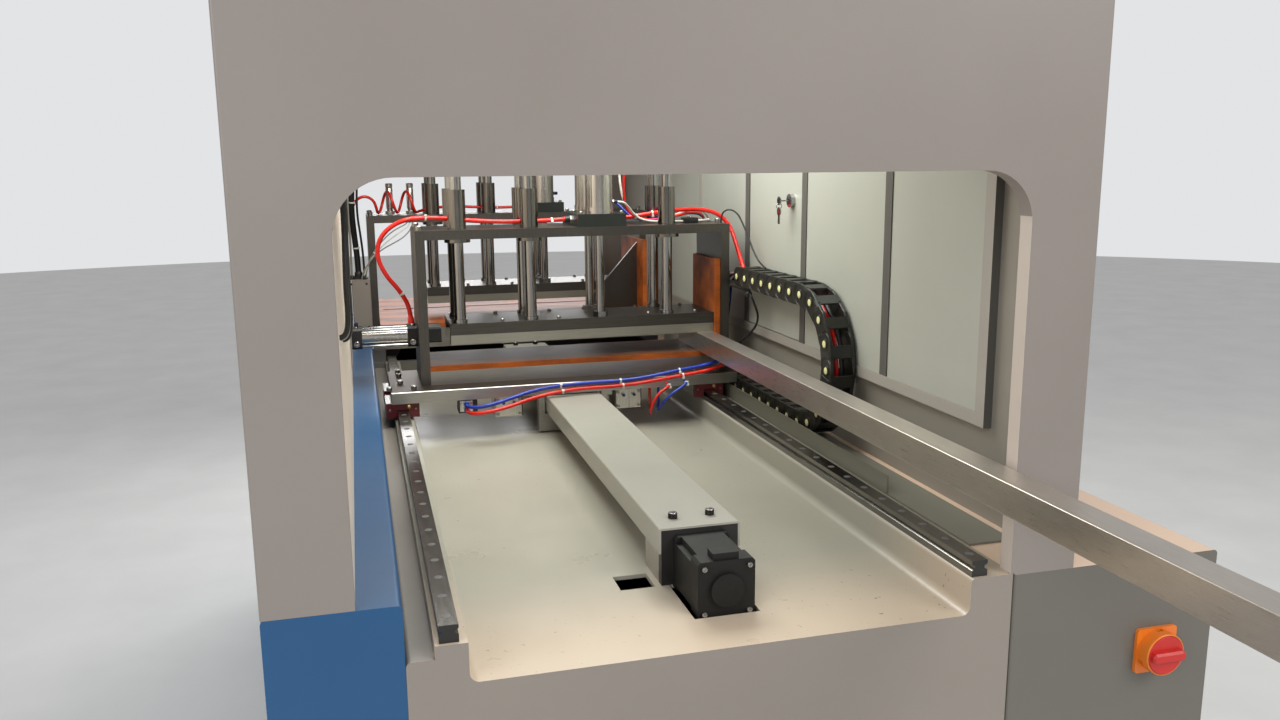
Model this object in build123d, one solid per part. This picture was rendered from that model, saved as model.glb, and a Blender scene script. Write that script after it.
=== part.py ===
"""Aluminium cutting saw with a bar feeder, seen from its infeed end.

X runs across the machine, Y along the feed away from the operator, Z up from the floor.
While it is drawn, X is measured from the middle of the bed and Y from the front of the portal.
Each piece is moved as it is saved, so that the origin is under the middle of the whole machine.
"""
import os
from math import atan2, cos, degrees, pi, radians, sin, tan

from build123d import *

# Enclosure
rear_length = 610
portal_header = 414
portal_depth = 24
sheet = 3
left_leg_width = 100
right_leg_width = 98
opening_width = 831
opening_rise = 470
opening_corner_radius = 65
roof_thickness = 3
fit_gap = 0.3

# Base cabinets
foot_height = 60
bed_width = 786
bed_length = 1790
bed_height = 812
bed_wall = 6
tray_depth = 50
seat_width = 38
ledge_width = 33
ledge_drop = 16
right_seat_width = 64
tray_corner_radius = 12
tray_slot_size = 50
fold_radius = 4
left_base_width = 151
left_base_step = 54
left_base_seam = 1324
seam_gap = 2
cabinet_width = 326
cabinet_drop = 2
cabinet_seam = 0.8
foot_diameter = 70
foot_inset = 70

# Feed rails and guide blocks
rail_inset = 49.5
rail_width = 23
rail_height = 22
rail_waist_depth = 4.5
rail_front = 5
rail_end_margin = 34
block_width = 70
block_length = 84
block_skirt = 16
block_cap = 7
block_running_gap = 0.5

# Carriage at rest
carriage_front = 1086
carriage_length = 245
carriage_thickness = 25
carriage_clearance = 15
carriage_overhang = 22.5

# Clamp gantries
gantry_left_inset = 44.5
gantry_right_overhang = 65.5
gantry_plate = 20
gantry_depth = 180
gantry_rise = 293
feed_gantry_setback = 56
saw_gantry_setback = 69
anvil_height = 30
phenolic_thickness = 12
jaw_thickness = 12
jaw_height = 212
jaw_margin = 8

# Press beams
beam_left_gap = 68
beam_depth = 150
beam_height = 25
beam_web = 8
beam_flange = 12
pad_height = 21
pad_width = 30
left_rod_offset = 92
middle_rod_offset = 250
right_rod_offset = 567
rod_row_spacing = 112
rod_diameter = 25
rod_rise = 211
rod_foot_height = 8
bushing_diameter = 40
bushing_length = 85
bushing_flange_diameter = 56
bushing_flange_height = 8
bushing_running_gap = 0.05
press_column_offset = 409
press_body_diameter = 61
press_body_height = 200
press_cap_height = 14
press_rod_diameter = 20
press_rod_rise = 41
press_nut_size = 34
press_nut_height = 12
press_mount_width = 110
press_mount_height = 28
press_mount_depth = 176
jaw_gap = 1

# Side clamp cylinders
side_tube_diameter = 38
side_cap_size = 46
side_cap_length = 22
side_wall_gap = 3
side_rod_diameter = 14
side_rod_length = 104
side_rise = 57
pusher_thickness = 29
pusher_width = 60
pusher_height = 34
pusher_gap = 2
pusher_tuck = 13
rod_clearance = 0.5

# Bar stock
bar_size = 42
bar_wall = 3
bar_corner_radius = 1.2
bar_overhang = 560
bar_tail_margin = 22

# Feed screw drive
screw_x = 25
screw_rise = 34
screw_diameter = 25
screw_cover_width = 120
screw_cover_rise = 34
screw_cover_height = 37
screw_cover_sheet = 3
motor_size = 80
motor_rear = 95
motor_length = 111
motor_chamfer = 4
motor_notch = 12
motor_notch_setback = 30
motor_boss_diameter = 46
motor_boss_length = 6
motor_connector_width = 36
motor_connector_length = 22
motor_connector_height = 9
motor_shaft_diameter = 19
motor_shaft_reach = 22
cover_bolt_diameter = 8
cover_bolt_depth = 12
cover_bolt_inset = 40
cover_bolt_offset = 28
flange_thickness = 14
housing_length = 70
housing_bearing_length = 16
chamber_diameter = 52
coupling_diameter = 40
coupling_length = 44
rear_bearing_margin = 55
rear_bearing_length = 36
nut_diameter = 48
nut_length = 60
nut_flange_length = 6
nut_flange_width = 12
nut_sleeve = 10
bracket_post_width = 13
bracket_thickness = 24
bracket_foot_width = 12
bracket_foot_height = 10
bracket_gap = 4

# Energy chain
chain_side_gap = 5
chain_width = 50
chain_height = 43
chain_pitch = 50
chain_wall = 6
chain_bend_links = 8
chain_upper_links = 7
chain_lower_links = 11
chain_end_gap = 37
chain_play = 0.4
chain_tray_front = 110
chain_tray_margin = 2
chain_tray_sheet = 3
chain_lip_height = 30
chain_lip_front = 350
chain_shelf_thickness = 4
chain_web_thickness = 3

# Saw table and saw unit
saw_table_lap = 10
saw_rear_margin = 50
saw_table_inset = 5
saw_table_overhang = 36
saw_beam_width = 35
saw_right_beam_width = 20
saw_deck_depth = 26
junction_width = 50
junction_depth = 90
junction_height = 134
junction_drop = 14
gusset_width = 180
gusset_drop = 10
gusset_thickness = 6
gusset_gap = 8
blade_setback = 310
blade_diameter = 400
blade_thickness = 4
blade_teeth = 40
blade_gullet = 12
blade_drop = 174
slot_width = 14
slot_left_margin = 36
slot_right_margin = 25
saw_park_x = -150
saw_carriage_width = 280
saw_carriage_margin = 60
saw_carriage_plate = 20
saw_rail_margin = 100
saw_rail_end_gap = 4
saw_rail_size = 22
saw_shoe_size = 80
saw_shoe_depth = 60
saw_shoe_inset = 45
saw_shoe_lift = 8
trolley_clearance = 12
post_spacing = 210
post_diameter = 24
post_setback = 32
post_rise = 45
lift_plate_gap = 18
lift_block_size = 30
lift_block_height = 36
lift_plate_rise = 33
lift_drop = 100
lift_motor_hole = 40
lift_foot_thickness = 15
spindle_housing_diameter = 70
spindle_diameter = 30
spindle_flange_diameter = 76
spindle_flange_thickness = 10
spindle_tip = 4
saw_motor_diameter = 170
saw_motor_length = 220
saw_motor_drop = 300
saw_motor_bore = 25
saw_motor_shaft = 24
saw_motor_shaft_reach = 60
pulley_diameter = 70
pulley_width = 34
pulley_setback = 162
belt_thickness = 5
belt_margin = 3
lift_cylinder_diameter = 50
lift_cylinder_setback = 135
lift_cylinder_floor = 12

# Doors, lock and switch
first_post = 200
second_post = 500
door_front_post = 851
door_rear_post = 1172
last_post = 1517
door_frame_step = 144
door_frame_height = 546
door_frame_depth = 14
door_rail_height = 20
door_post_width = 24
door_gap = 2
door_leaf_inset = 2
hinge_pin_diameter = 5
hinge_barrel_diameter = 9
hinge_barrel_length = 24
hinge_leaf_width = 18
hinge_leaf_thickness = 2
hinge_leaf_gap = 4
hinge_lug = 5
hinge_running_gap = 0.05
hinge_end_distance = 90
lock_setback = 74
lock_rise = 313
lock_diameter = 22
lock_collar = 6
lock_proud = 9
keyway_diameter = 7
key_blade_width = 6
key_bow_diameter = 18
key_hole_diameter = 4
key_hole_inset = 4
key_thickness = 2.4
key_reach = 22
key_length = 26
key_ring_radius = 6
key_ring_wire = 1.6
cabinet_door_front = 300
cabinet_door_rear = 1100
cabinet_door_rise = 70
cabinet_door_drop = 60
cabinet_door_thickness = 18
switch_inset = 94
switch_drop = 135
switch_plate = 65
switch_plate_thickness = 5
switch_plate_radius = 5
switch_collar_diameter = 61
switch_collar_depth = 19
switch_slots = 3
switch_slot_width = 11
switch_slot_depth = 7
switch_slot_reach = 7
switch_hub_diameter = 18
switch_knob_diameter = 56
switch_disc_thickness = 5
switch_grip_width = 15
switch_grip_height = 9

# Cylinders and valve under the carriage
compact_size = 62
compact_height = 44
compact_inset = 6
compact_chamfer = 3
compact_left_offset = 143
compact_right_offset = 127
valve_offset = 231
valve_width = 40
valve_height = 30
fitting_diameter = 10
fitting_length = 14
fitting_offset = 4
upper_fitting_drop = 9
lower_fitting_drop = 21

# Hoses and cables
side_hose_diameter = 10
front_tube_diameter = 8
gantry_tube_diameter = 10
chain_wire_diameter = 4
harness_diameter = 16
hose_lead = 24
saw_hose_diameter = 8
coil_radius = 30
coil_pitch = 52
coil_turns = 2
coil_points = 12

# Places that follow from the sizes above
machine_length = bed_length + rear_length
bed_half = bed_width / 2
left_base_height = bed_height + left_base_step
cabinet_height = bed_height - cabinet_drop
opening_top = left_base_height + opening_rise
portal_top = opening_top + portal_header
left_edge = -bed_half - left_base_width
left_base_right = -bed_half - fit_gap
cabinet_left = bed_half + cabinet_seam
cabinet_right = bed_half + cabinet_width
right_edge = cabinet_right + hinge_leaf_thickness + hinge_barrel_diameter - fit_gap
opening_left = left_edge + left_leg_width
opening_right = opening_left + opening_width
portal_right = opening_right + right_leg_width
wall_top = portal_top - roof_thickness
wall_rear = machine_length - portal_depth
tray_floor = bed_height - tray_depth
tray_left = -bed_half + ledge_width + seat_width
tray_right = bed_half - right_seat_width
rail_half = bed_half - rail_inset
rail_rear = bed_length - rail_end_margin
rail_top = bed_height + rail_height
carriage_bottom = rail_top + carriage_clearance
carriage_top = carriage_bottom + carriage_thickness
carriage_rear = carriage_front + carriage_length
carriage_left = -rail_half - carriage_overhang
gantry_left = -rail_half + gantry_left_inset
gantry_right = rail_half + gantry_right_overhang
inner_left = gantry_left + gantry_plate
inner_right = gantry_right - gantry_plate
feed_gantry_front = carriage_front + feed_gantry_setback
feed_rear = feed_gantry_front + gantry_depth
feed_middle = feed_gantry_front + gantry_depth / 2
saw_gantry_front = bed_length + saw_gantry_setback
anvil_top = carriage_top + anvil_height
table_top = anvil_top + phenolic_thickness
gantry_top = table_top + gantry_rise
jaw_left = inner_right - jaw_thickness
pad_bottom = table_top + bar_size
beam_bottom = pad_bottom + pad_height
beam_top = beam_bottom + beam_height
beam_left = gantry_left + beam_left_gap
beam_right = jaw_left - jaw_gap
left_rod_x = gantry_left + left_rod_offset
middle_rod_x = gantry_left + middle_rod_offset
right_rod_x = gantry_left + right_rod_offset
press_column = gantry_left + press_column_offset
side_height = table_top + side_rise
pusher_top = beam_bottom + pusher_tuck
bar_tail = feed_rear - bar_tail_margin
screw_height = tray_floor + screw_rise
screw_cover_top = bed_height + screw_cover_rise
screw_cover_left = screw_x - screw_cover_width / 2
screw_cover_right = screw_cover_left + screw_cover_width
motor_front = motor_rear + motor_length
rear_bearing_front = bed_length - rear_bearing_margin
cover_rear = rear_bearing_front + rear_bearing_length
shaft_end = motor_front + flange_thickness + motor_shaft_reach
housing_half = screw_cover_width / 2 - screw_cover_sheet - fit_gap
housing_top = screw_cover_top - screw_cover_sheet
chain_left = gantry_right + chain_side_gap
chain_right = chain_left + chain_width
chain_tray_left = bed_half + chain_tray_margin
chain_radius = chain_pitch / (2 * sin(pi / (2 * chain_bend_links)))
chain_low = cabinet_height + chain_tray_sheet + chain_height / 2 + fit_gap
chain_high = chain_low + 2 * chain_radius
chain_bend_start = feed_gantry_front - chain_end_gap - chain_upper_links * chain_pitch
chain_upper_end = chain_bend_start + chain_upper_links * chain_pitch
chain_lower_end = chain_bend_start + chain_lower_links * chain_pitch
saw_table_front = bed_length - saw_table_lap
saw_table_rear = machine_length - saw_rear_margin
saw_table_left = -bed_half + saw_table_inset
saw_table_right = gantry_right + saw_table_overhang
slot_left = saw_table_left + slot_left_margin
slot_right = saw_table_right - slot_right_margin
blade_y = bed_length + blade_setback
blade_height = carriage_bottom - blade_drop
post_y = blade_y + post_setback
post_top = blade_height + post_rise
lift_front = post_y + lift_plate_gap
pulley_y = blade_y + pulley_setback
lift_cylinder_y = blade_y + lift_cylinder_setback
saw_motor_z = blade_height - saw_motor_drop
lift_low = saw_motor_z - lift_drop
saw_carriage_front = bed_length + saw_carriage_margin
saw_carriage_rear = machine_length - saw_rear_margin
saw_rail_front = bed_length + saw_rail_margin
saw_rail_rear = machine_length - saw_rail_margin
door_frame_rear = last_post + door_post_width
door_frame_bottom = cabinet_height + door_frame_step
door_frame_top = door_frame_bottom + door_frame_height
door_inner = portal_right - sheet - door_frame_depth + door_leaf_inset
lock_y = door_front_post + lock_setback
lock_height = door_frame_bottom + lock_rise
cabinet_door_bottom = foot_height + cabinet_door_rise
cabinet_door_top = cabinet_height - cabinet_door_drop
switch_x = cabinet_right - switch_inset
switch_height = cabinet_height - switch_drop
switch_face = -switch_plate_thickness - switch_collar_depth
compact_left_x = screw_x - compact_left_offset
compact_right_x = screw_x + compact_right_offset
valve_x = screw_x - valve_offset
fitting_front = carriage_front + compact_inset - fitting_length

origin_shift = Pos(
    -(left_edge + right_edge) / 2,
    -(machine_length - bar_overhang) / 2,
    0,
)

os.makedirs("parts", exist_ok=True)


def save(name, *solids):
    """Write one named piece, or one group of like pieces, in the machine's own frame."""
    shape = solids[0] if len(solids) == 1 else Compound(children=list(solids))
    export_step(origin_shift * shape, f"parts/{name}.step")


def box(x0, x1, y0, y1, z0, z1):
    """Block between two corners."""
    return Pos((x0 + x1) / 2, (y0 + y1) / 2, (z0 + z1) / 2) * Box(x1 - x0, y1 - y0, z1 - z0)


def bar_x(y, z, x0, x1, diameter):
    """Round bar along X."""
    return Pos((x0 + x1) / 2, y, z) * Rot(0, 90, 0) * Cylinder(diameter / 2, x1 - x0)


def bar_y(x, z, y0, y1, diameter):
    """Round bar along Y."""
    return Pos(x, (y0 + y1) / 2, z) * Rot(90, 0, 0) * Cylinder(diameter / 2, y1 - y0)


def bar_z(x, y, z0, z1, diameter):
    """Round bar along Z."""
    return Pos(x, y, (z0 + z1) / 2) * Cylinder(diameter / 2, z1 - z0)


def along_y(points, y0, y1):
    """Prism of an (x, z) outline from y0 to y1."""
    outline = make_face(Polyline(*[(x, y0, z) for x, z in points], close=True))
    return extrude(outline, amount=y1 - y0, dir=(0, 1, 0))


def edges_at(shape, axis, x=None, y=None, z=None):
    """Edges of a shape along an axis, whose middle has the given coordinates."""
    near = 0.01
    found = shape.edges().filter_by(axis)
    if x is not None:
        found = found.filter_by(lambda edge: abs(edge.center().X - x) < near)
    if y is not None:
        found = found.filter_by(lambda edge: abs(edge.center().Y - y) < near)
    if z is not None:
        found = found.filter_by(lambda edge: abs(edge.center().Z - z) < near)
    return found


# Base cabinets and enclosure

def bed_frame():
    """Welded bed: front, sides, two rail seats, a left ledge and the sunk tray between them."""
    ledge_right = -bed_half + ledge_width
    ledge_top = bed_height - ledge_drop
    profile = [
        (-bed_half, foot_height),
        (-bed_half, ledge_top),
        (ledge_right, ledge_top),
        (ledge_right, bed_height),
        (tray_left, bed_height),
        (tray_left, tray_floor),
        (tray_right, tray_floor),
        (tray_right, bed_height),
        (bed_half, bed_height),
        (bed_half, foot_height),
    ]
    bed = along_y(profile, 0, bed_length)
    hollows = edges_at(bed, Axis.Y, x=tray_left, z=tray_floor)
    hollows += edges_at(bed, Axis.Y, x=tray_right, z=tray_floor)
    bed = fillet(hollows, tray_corner_radius)
    rims = edges_at(bed, Axis.Y, x=tray_right, z=bed_height)
    rims += edges_at(bed, Axis.Y, x=-bed_half, z=ledge_top)
    bed = fillet(rims, bed_wall)
    bed = fillet(edges_at(bed, Axis.Z, x=bed_half, y=0), fold_radius)
    y0 = bed_wall
    y1 = bed_length - bed_wall
    inner = bed_half - bed_wall
    under_tray = tray_floor - bed_wall
    web = bed_wall + tray_corner_radius
    bed -= box(-inner, inner, y0, y1, foot_height + bed_wall, under_tray)
    bed -= box(-inner, tray_left - bed_wall, y0, y1, under_tray - 1, ledge_top - bed_wall)
    bed -= box(tray_right + web, inner, y0, y1, under_tray - 1, bed_height - bed_wall)
    half = motor_size / 2 + bed_wall
    bed -= box(screw_x - half, screw_x + half, motor_rear - bed_wall, motor_front + 1,
               under_tray - 1, tray_floor + 1)
    slot_end = screw_cover_left - bed_wall
    bed -= box(slot_end - tray_slot_size, slot_end, motor_front, motor_front + tray_slot_size,
               under_tray - 1, tray_floor + 1)
    return bed


def base_box(x0, x1, y0, y1, top):
    """Folded closed base box with softly rounded top edges."""
    shell = box(x0, x1, y0, y1, foot_height, top)
    shell = fillet(edges_at(shell, Axis.Y, z=top), 2 * sheet)
    return shell - box(x0 + sheet, x1 - sheet, y0 + sheet, y1 - sheet, foot_height + sheet, top - sheet)


def cabinet():
    """Long electrical cabinet on the right, with a door opening in its outer side."""
    shell = box(cabinet_left, cabinet_right, 0, bed_length, foot_height, cabinet_height)
    shell = fillet(edges_at(shell, Axis.Y, x=cabinet_right, z=cabinet_height), 2 * sheet)
    shell = fillet(edges_at(shell, Axis.Z, x=cabinet_left, y=0), fold_radius)
    shell -= box(cabinet_left + sheet, cabinet_right - sheet, sheet, bed_length - sheet,
                 foot_height + sheet, cabinet_height - sheet)
    shell -= box(cabinet_right - 2 * sheet, cabinet_right + 1,
                 cabinet_door_front, cabinet_door_rear, cabinet_door_bottom, cabinet_door_top)
    return shell


def saw_housing():
    """Wide box behind the bed and the cabinet that holds the saw unit, open under the saw table."""
    shell = box(-bed_half, cabinet_right, bed_length, machine_length, foot_height, cabinet_height)
    shell = fillet(edges_at(shell, Axis.Y, x=cabinet_right, z=cabinet_height), 2 * sheet)
    shell -= box(-bed_half + bed_wall, cabinet_right - bed_wall,
                 bed_length + bed_wall, machine_length - bed_wall,
                 foot_height + bed_wall, cabinet_height - bed_wall)
    return shell - box(-bed_half + bed_wall, saw_table_right - saw_right_beam_width,
                       bed_length + saw_deck_depth, machine_length - bed_wall,
                       cabinet_height - 2 * bed_wall, cabinet_height + 1)


def levelling_foot(x, y):
    """Screwed foot with a round pad and a lock nut."""
    pad = Pos(x, y, 0) * Cone(foot_diameter / 2, foot_diameter / 3, foot_height / 4,
                              align=(Align.CENTER, Align.CENTER, Align.MIN))
    stem = bar_z(x, y, 0, foot_height, foot_diameter / 3.5)
    nut = extrude(RegularPolygon(foot_diameter / 4, 6), foot_height / 6)
    return pad + stem + Pos(x, y, foot_height - foot_height / 6) * nut


def opening_block(grow, y0, y1, bottom):
    """Space of the portal opening, with round upper corners."""
    block = box(opening_left - grow, opening_right + grow, y0, y1, bottom, opening_top + grow)
    return fillet(edges_at(block, Axis.Y, z=opening_top + grow), opening_corner_radius + grow)


def portal(front):
    """Dished sheet portal: its front face is towards the operator and its rims point inwards."""
    bottom = cabinet_height
    body = box(left_edge, portal_right, 0, portal_depth, bottom, portal_top)
    body = fillet(edges_at(body, Axis.Z, y=0), sheet)
    body -= box(left_edge - 1, opening_left + sheet, -1, portal_depth + 1, bottom - 1, left_base_height)
    body -= box(opening_right - 1, bed_half + fit_gap, -1, portal_depth + 1,
                bottom - 1, bed_height + fit_gap)
    pocket = box(left_edge + sheet, portal_right - sheet, sheet, portal_depth + 1,
                 bottom - 1, portal_top - sheet)
    pocket -= opening_block(sheet, 0, portal_depth + 2, bottom - 2)
    body -= pocket
    body -= opening_block(0, -1, portal_depth + 1, bottom - 2)
    if front:
        return body
    return Pos(0, machine_length, 0) * mirror(body, Plane.XZ)


def left_wall():
    """Deep hollow wall panel on the left base."""
    wall = box(left_edge, opening_left, portal_depth, wall_rear, left_base_height, wall_top)
    return wall - box(left_edge + sheet, opening_left - sheet, portal_depth + sheet,
                      wall_rear - sheet, left_base_height - 1, wall_top + 1)


def right_wall():
    """Flat side sheet with a window for the panels and the door."""
    wall = box(portal_right - sheet, portal_right, portal_depth, wall_rear, cabinet_height, wall_top)
    for front, rear in door_bays:
        wall -= box(portal_right - sheet - 1, portal_right + 1, front + door_post_width, rear,
                    door_frame_bottom + door_rail_height, door_frame_top - door_rail_height)
    return wall


def door_frame():
    """Raised inner frame with upright posts between the panels."""
    x1 = portal_right - sheet
    x0 = x1 - door_frame_depth
    frame = box(x0, x1, first_post, door_frame_rear, door_frame_bottom, door_frame_top)
    for front, rear in door_bays:
        frame -= box(x0 - 1, x1 + 1, front + door_post_width, rear,
                     door_frame_bottom + door_rail_height, door_frame_top - door_rail_height)
    return frame


def door_leaf(front, rear, gap):
    """Double-skinned leaf between two posts of the frame, flush with the outer side."""
    z0 = door_frame_bottom + door_rail_height + gap
    z1 = door_frame_top - door_rail_height - gap
    return box(door_inner, portal_right, front + door_post_width + gap, rear - gap, z0, z1)


post_fronts = (first_post, second_post, door_front_post, door_rear_post, last_post)
door_bays = list(zip(post_fronts, post_fronts[1:]))
save("bed_frame", bed_frame())
save(
    "left_base",
    base_box(left_edge, left_base_right, 0, left_base_seam, left_base_height),
    base_box(left_edge, left_base_right, left_base_seam + seam_gap, machine_length, left_base_height),
)
foot_columns = (left_edge + foot_inset, -foot_inset, cabinet_right - foot_inset)
foot_rows = (foot_inset, machine_length / 2, machine_length - foot_inset)
save("levelling_feet", *[levelling_foot(x, y) for x in foot_columns for y in foot_rows])
save("infeed_portal", portal(True))
save("outfeed_portal", portal(False))
save("left_wall", left_wall())
save("door_frame", door_frame())
roof = box(left_edge, portal_right, portal_depth, wall_rear, wall_top, portal_top)
save("roof", roof)
fixed_bays = [bay for bay in door_bays if bay[0] != door_front_post]
save("side_panels", *[door_leaf(front, rear, fit_gap) for front, rear in fixed_bays])


# Feed rails, screw drive and motor

def rail(x):
    """Profile rail with a waist on both sides."""
    half = rail_width / 2
    waist = half - rail_waist_depth
    outline = [
        (-half, 0), (-half, 0.4 * rail_height), (-waist, 0.52 * rail_height),
        (-waist, 0.66 * rail_height), (-half, 0.78 * rail_height), (-half, rail_height),
        (half, rail_height), (half, 0.78 * rail_height), (waist, 0.66 * rail_height),
        (waist, 0.52 * rail_height), (half, 0.4 * rail_height), (half, 0),
    ]
    return along_y([(x + dx, bed_height + dz) for dx, dz in outline], rail_front, rail_rear)


def guide_block(x, y0, y1, width):
    """Saddle over a rail, with a running gap all round."""
    bottom = rail_top - block_skirt
    half = rail_width / 2 + block_running_gap
    saddle = box(x - width / 2, x + width / 2, y0, y1, bottom, carriage_bottom)
    return saddle - box(x - half, x + half, y0 - 1, y1 + 1, bottom - 1, rail_top + block_running_gap)


def block_places():
    """Middle x, front and rear of each of the four guide blocks."""
    front = carriage_front + 2 * block_cap
    rear = carriage_rear - 2 * block_cap
    for x in (-rail_half, rail_half):
        yield x, front, front + block_length
        yield x, rear - block_length, rear


def bolt_places():
    """Middle x and y of each bolt of the screw cover."""
    for y in (motor_front + cover_bolt_inset, cover_rear - rear_bearing_length / 2):
        for dx in (-cover_bolt_offset, cover_bolt_offset):
            yield screw_x + dx, y


def bolt_holes():
    """Holes in the housings for the bolts of the screw cover."""
    return [bar_z(x, y, screw_cover_top - cover_bolt_depth - 2, screw_cover_top,
                  cover_bolt_diameter + 0.6) for x, y in bolt_places()]


def screw_cover():
    """Inverted channel over the feed screw, closed by the bearing housings at its ends."""
    top = box(screw_cover_left, screw_cover_right, motor_front, cover_rear,
              screw_cover_top - screw_cover_height, screw_cover_top)
    top = fillet(edges_at(top, Axis.Y, z=screw_cover_top), screw_cover_sheet)
    inner = screw_cover_sheet
    top -= box(screw_cover_left + inner, screw_cover_right - inner, motor_front - 1, cover_rear + 1,
               screw_cover_top - screw_cover_height - 1, screw_cover_top - inner)
    for x, y in bolt_places():
        top -= bar_z(x, y, screw_cover_top - 2 * inner, screw_cover_top + 1, cover_bolt_diameter + 1)
    return top


def cover_bolts():
    """Socket-head bolts that hold the cover down on the housings."""
    bolts = []
    for x, y in bolt_places():
        seat = screw_cover_top
        head = bar_z(x, y, seat, seat + cover_bolt_diameter, cover_bolt_diameter * 1.7)
        bolts.append(head + bar_z(x, y, seat - cover_bolt_depth, seat, cover_bolt_diameter))
    return bolts


def servo_motor():
    """Square motor with notched corners, a round rear boss and a shaft into the coupling."""
    half = motor_size / 2
    z = screw_height
    body = box(screw_x - half, screw_x + half, motor_rear, motor_front, z - half, z + half)
    for side in (-1, 1):
        for level in (-1, 1):
            edge = body.edges().filter_by(Axis.Y).sort_by_distance(
                Vector(screw_x + side * half, (motor_rear + motor_front) / 2, z + level * half))[0]
            body = chamfer(edge, motor_chamfer)
            x = screw_x + side * (half - motor_notch / 4)
            y1 = motor_front - motor_notch
            notch = box(x - motor_notch / 2, x + motor_notch / 2, motor_rear + motor_notch_setback, y1,
                        z + level * (half - motor_notch / 4) - motor_notch / 2,
                        z + level * (half - motor_notch / 4) + motor_notch / 2)
            body -= notch
    body += bar_y(screw_x, z, motor_rear - motor_boss_length, motor_rear, motor_boss_diameter)
    plug_front = motor_rear + motor_chamfer
    body += box(screw_x - motor_connector_width / 2, screw_x + motor_connector_width / 2,
                plug_front, plug_front + motor_connector_length, z + half, z + half + motor_connector_height)
    return body + bar_y(screw_x, z, motor_front, shaft_end, motor_shaft_diameter)


def motor_flange():
    """Black mounting plate that stands in the tray and closes the front of the screw cover."""
    plate = box(screw_x - housing_half, screw_x + housing_half,
                motor_front, motor_front + flange_thickness, tray_floor, housing_top)
    return plate - bar_y(screw_x, screw_height, motor_front - 1, motor_front + flange_thickness + 1,
                         motor_shaft_diameter + 2)


def front_housing():
    """Bearing housing with the coupling chamber and a window above it."""
    y0 = motor_front + flange_thickness
    y1 = y0 + housing_length
    block = box(screw_x - housing_half, screw_x + housing_half, y0, y1, tray_floor, housing_top)
    block -= bar_y(screw_x, screw_height, y0 - 1, y1 - housing_bearing_length, chamber_diameter)
    block -= bolt_holes()
    return block - bar_y(screw_x, screw_height, y0, y1 + 1, screw_diameter + 2 * hinge_running_gap)


def rear_housing():
    """Rear bearing block of the feed screw."""
    block = box(screw_x - housing_half, screw_x + housing_half,
                rear_bearing_front, cover_rear, tray_floor, housing_top)
    block -= bolt_holes()
    return block - bar_y(screw_x, screw_height, rear_bearing_front - 1, cover_rear + 1,
                         screw_diameter + 2 * hinge_running_gap)


def nut_bracket():
    """Bracket that passes under the cover and hangs the ball nut from the carriage."""
    y0 = carriage_front + bracket_gap
    y1 = y0 + bracket_thickness
    outer0 = screw_cover_left - bracket_gap - bracket_post_width
    outer1 = screw_cover_right + bracket_gap + bracket_post_width
    cover_bottom = screw_cover_top - screw_cover_height
    yoke = box(outer0, outer1, y0, y1, tray_floor + bracket_gap, carriage_bottom)
    slot = box(screw_cover_left - bracket_gap, screw_cover_right + bracket_gap, y0 - 1, y1 + 1,
               cover_bottom - bracket_gap, carriage_bottom + 1)
    yoke -= slot
    yoke += bar_y(screw_x, screw_height, y0, y0 + nut_length, nut_diameter + nut_sleeve)
    yoke -= box(outer0, outer1, y0 - 1, y0 + nut_length + 1, 0, tray_floor + bracket_gap)
    yoke += box(outer0 - bracket_foot_width, outer0, y0, y1,
                carriage_bottom - bracket_foot_height, carriage_bottom)
    yoke += box(outer1, outer1 + bracket_foot_width, y0, y1,
                carriage_bottom - bracket_foot_height, carriage_bottom)
    return yoke - bar_y(screw_x, screw_height, y0 - 1, y0 + nut_length + 1, nut_diameter)


def ball_nut():
    """Flanged ball nut in the bracket, with running clearance on the screw."""
    y0 = carriage_front + bracket_gap
    nut = bar_y(screw_x, screw_height, y0, y0 + nut_length, nut_diameter)
    nut += bar_y(screw_x, screw_height, y0 - nut_flange_length, y0, nut_diameter + nut_flange_width)
    return nut - bar_y(screw_x, screw_height, carriage_front - nut_flange_length, y0 + nut_length + 1,
                       screw_diameter + 2 * hinge_running_gap)


save("feed_rails", rail(-rail_half), rail(rail_half))
save("guide_blocks", *[guide_block(x, y0, y1, block_width) for x, y0, y1 in block_places()])
caps = []
for x, y0, y1 in block_places():
    caps.append(guide_block(x, y0 - block_cap, y0, block_width - 2))
    caps.append(guide_block(x, y1, y1 + block_cap, block_width - 2))
save("block_end_caps", *caps)
save("screw_cover", screw_cover(), *cover_bolts())
save("servo_motor", servo_motor())
save("screw_housings", motor_flange(), front_housing(), rear_housing())
coupling_front = motor_front + flange_thickness + 2
coupling = bar_y(screw_x, screw_height, coupling_front, coupling_front + coupling_length,
                 coupling_diameter)
coupling -= bar_y(screw_x, screw_height, coupling_front - 1, shaft_end + fit_gap,
                  motor_shaft_diameter + 2 * hinge_running_gap)
coupling -= bar_y(screw_x, screw_height, shaft_end + fit_gap, coupling_front + coupling_length + 1,
                  screw_diameter)
screw = bar_y(screw_x, screw_height, shaft_end + fit_gap, cover_rear, screw_diameter)
save("feed_screw", screw, coupling)
save("nut_bracket", nut_bracket(), ball_nut())


# Carriage, clamp gantries and presses

def rows(middle):
    """The two rows of rods, in front of and behind the middle of a gantry."""
    return (middle - rod_row_spacing / 2, middle + rod_row_spacing / 2)


def rod_places(middle):
    """Middle x and y of each guide rod of a press."""
    for x in (left_rod_x, middle_rod_x, right_rod_x):
        for y in rows(middle):
            yield x, y


def press_places(middle):
    """Middle x and y of each press cylinder."""
    for y in rows(middle):
        yield press_column, y


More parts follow.
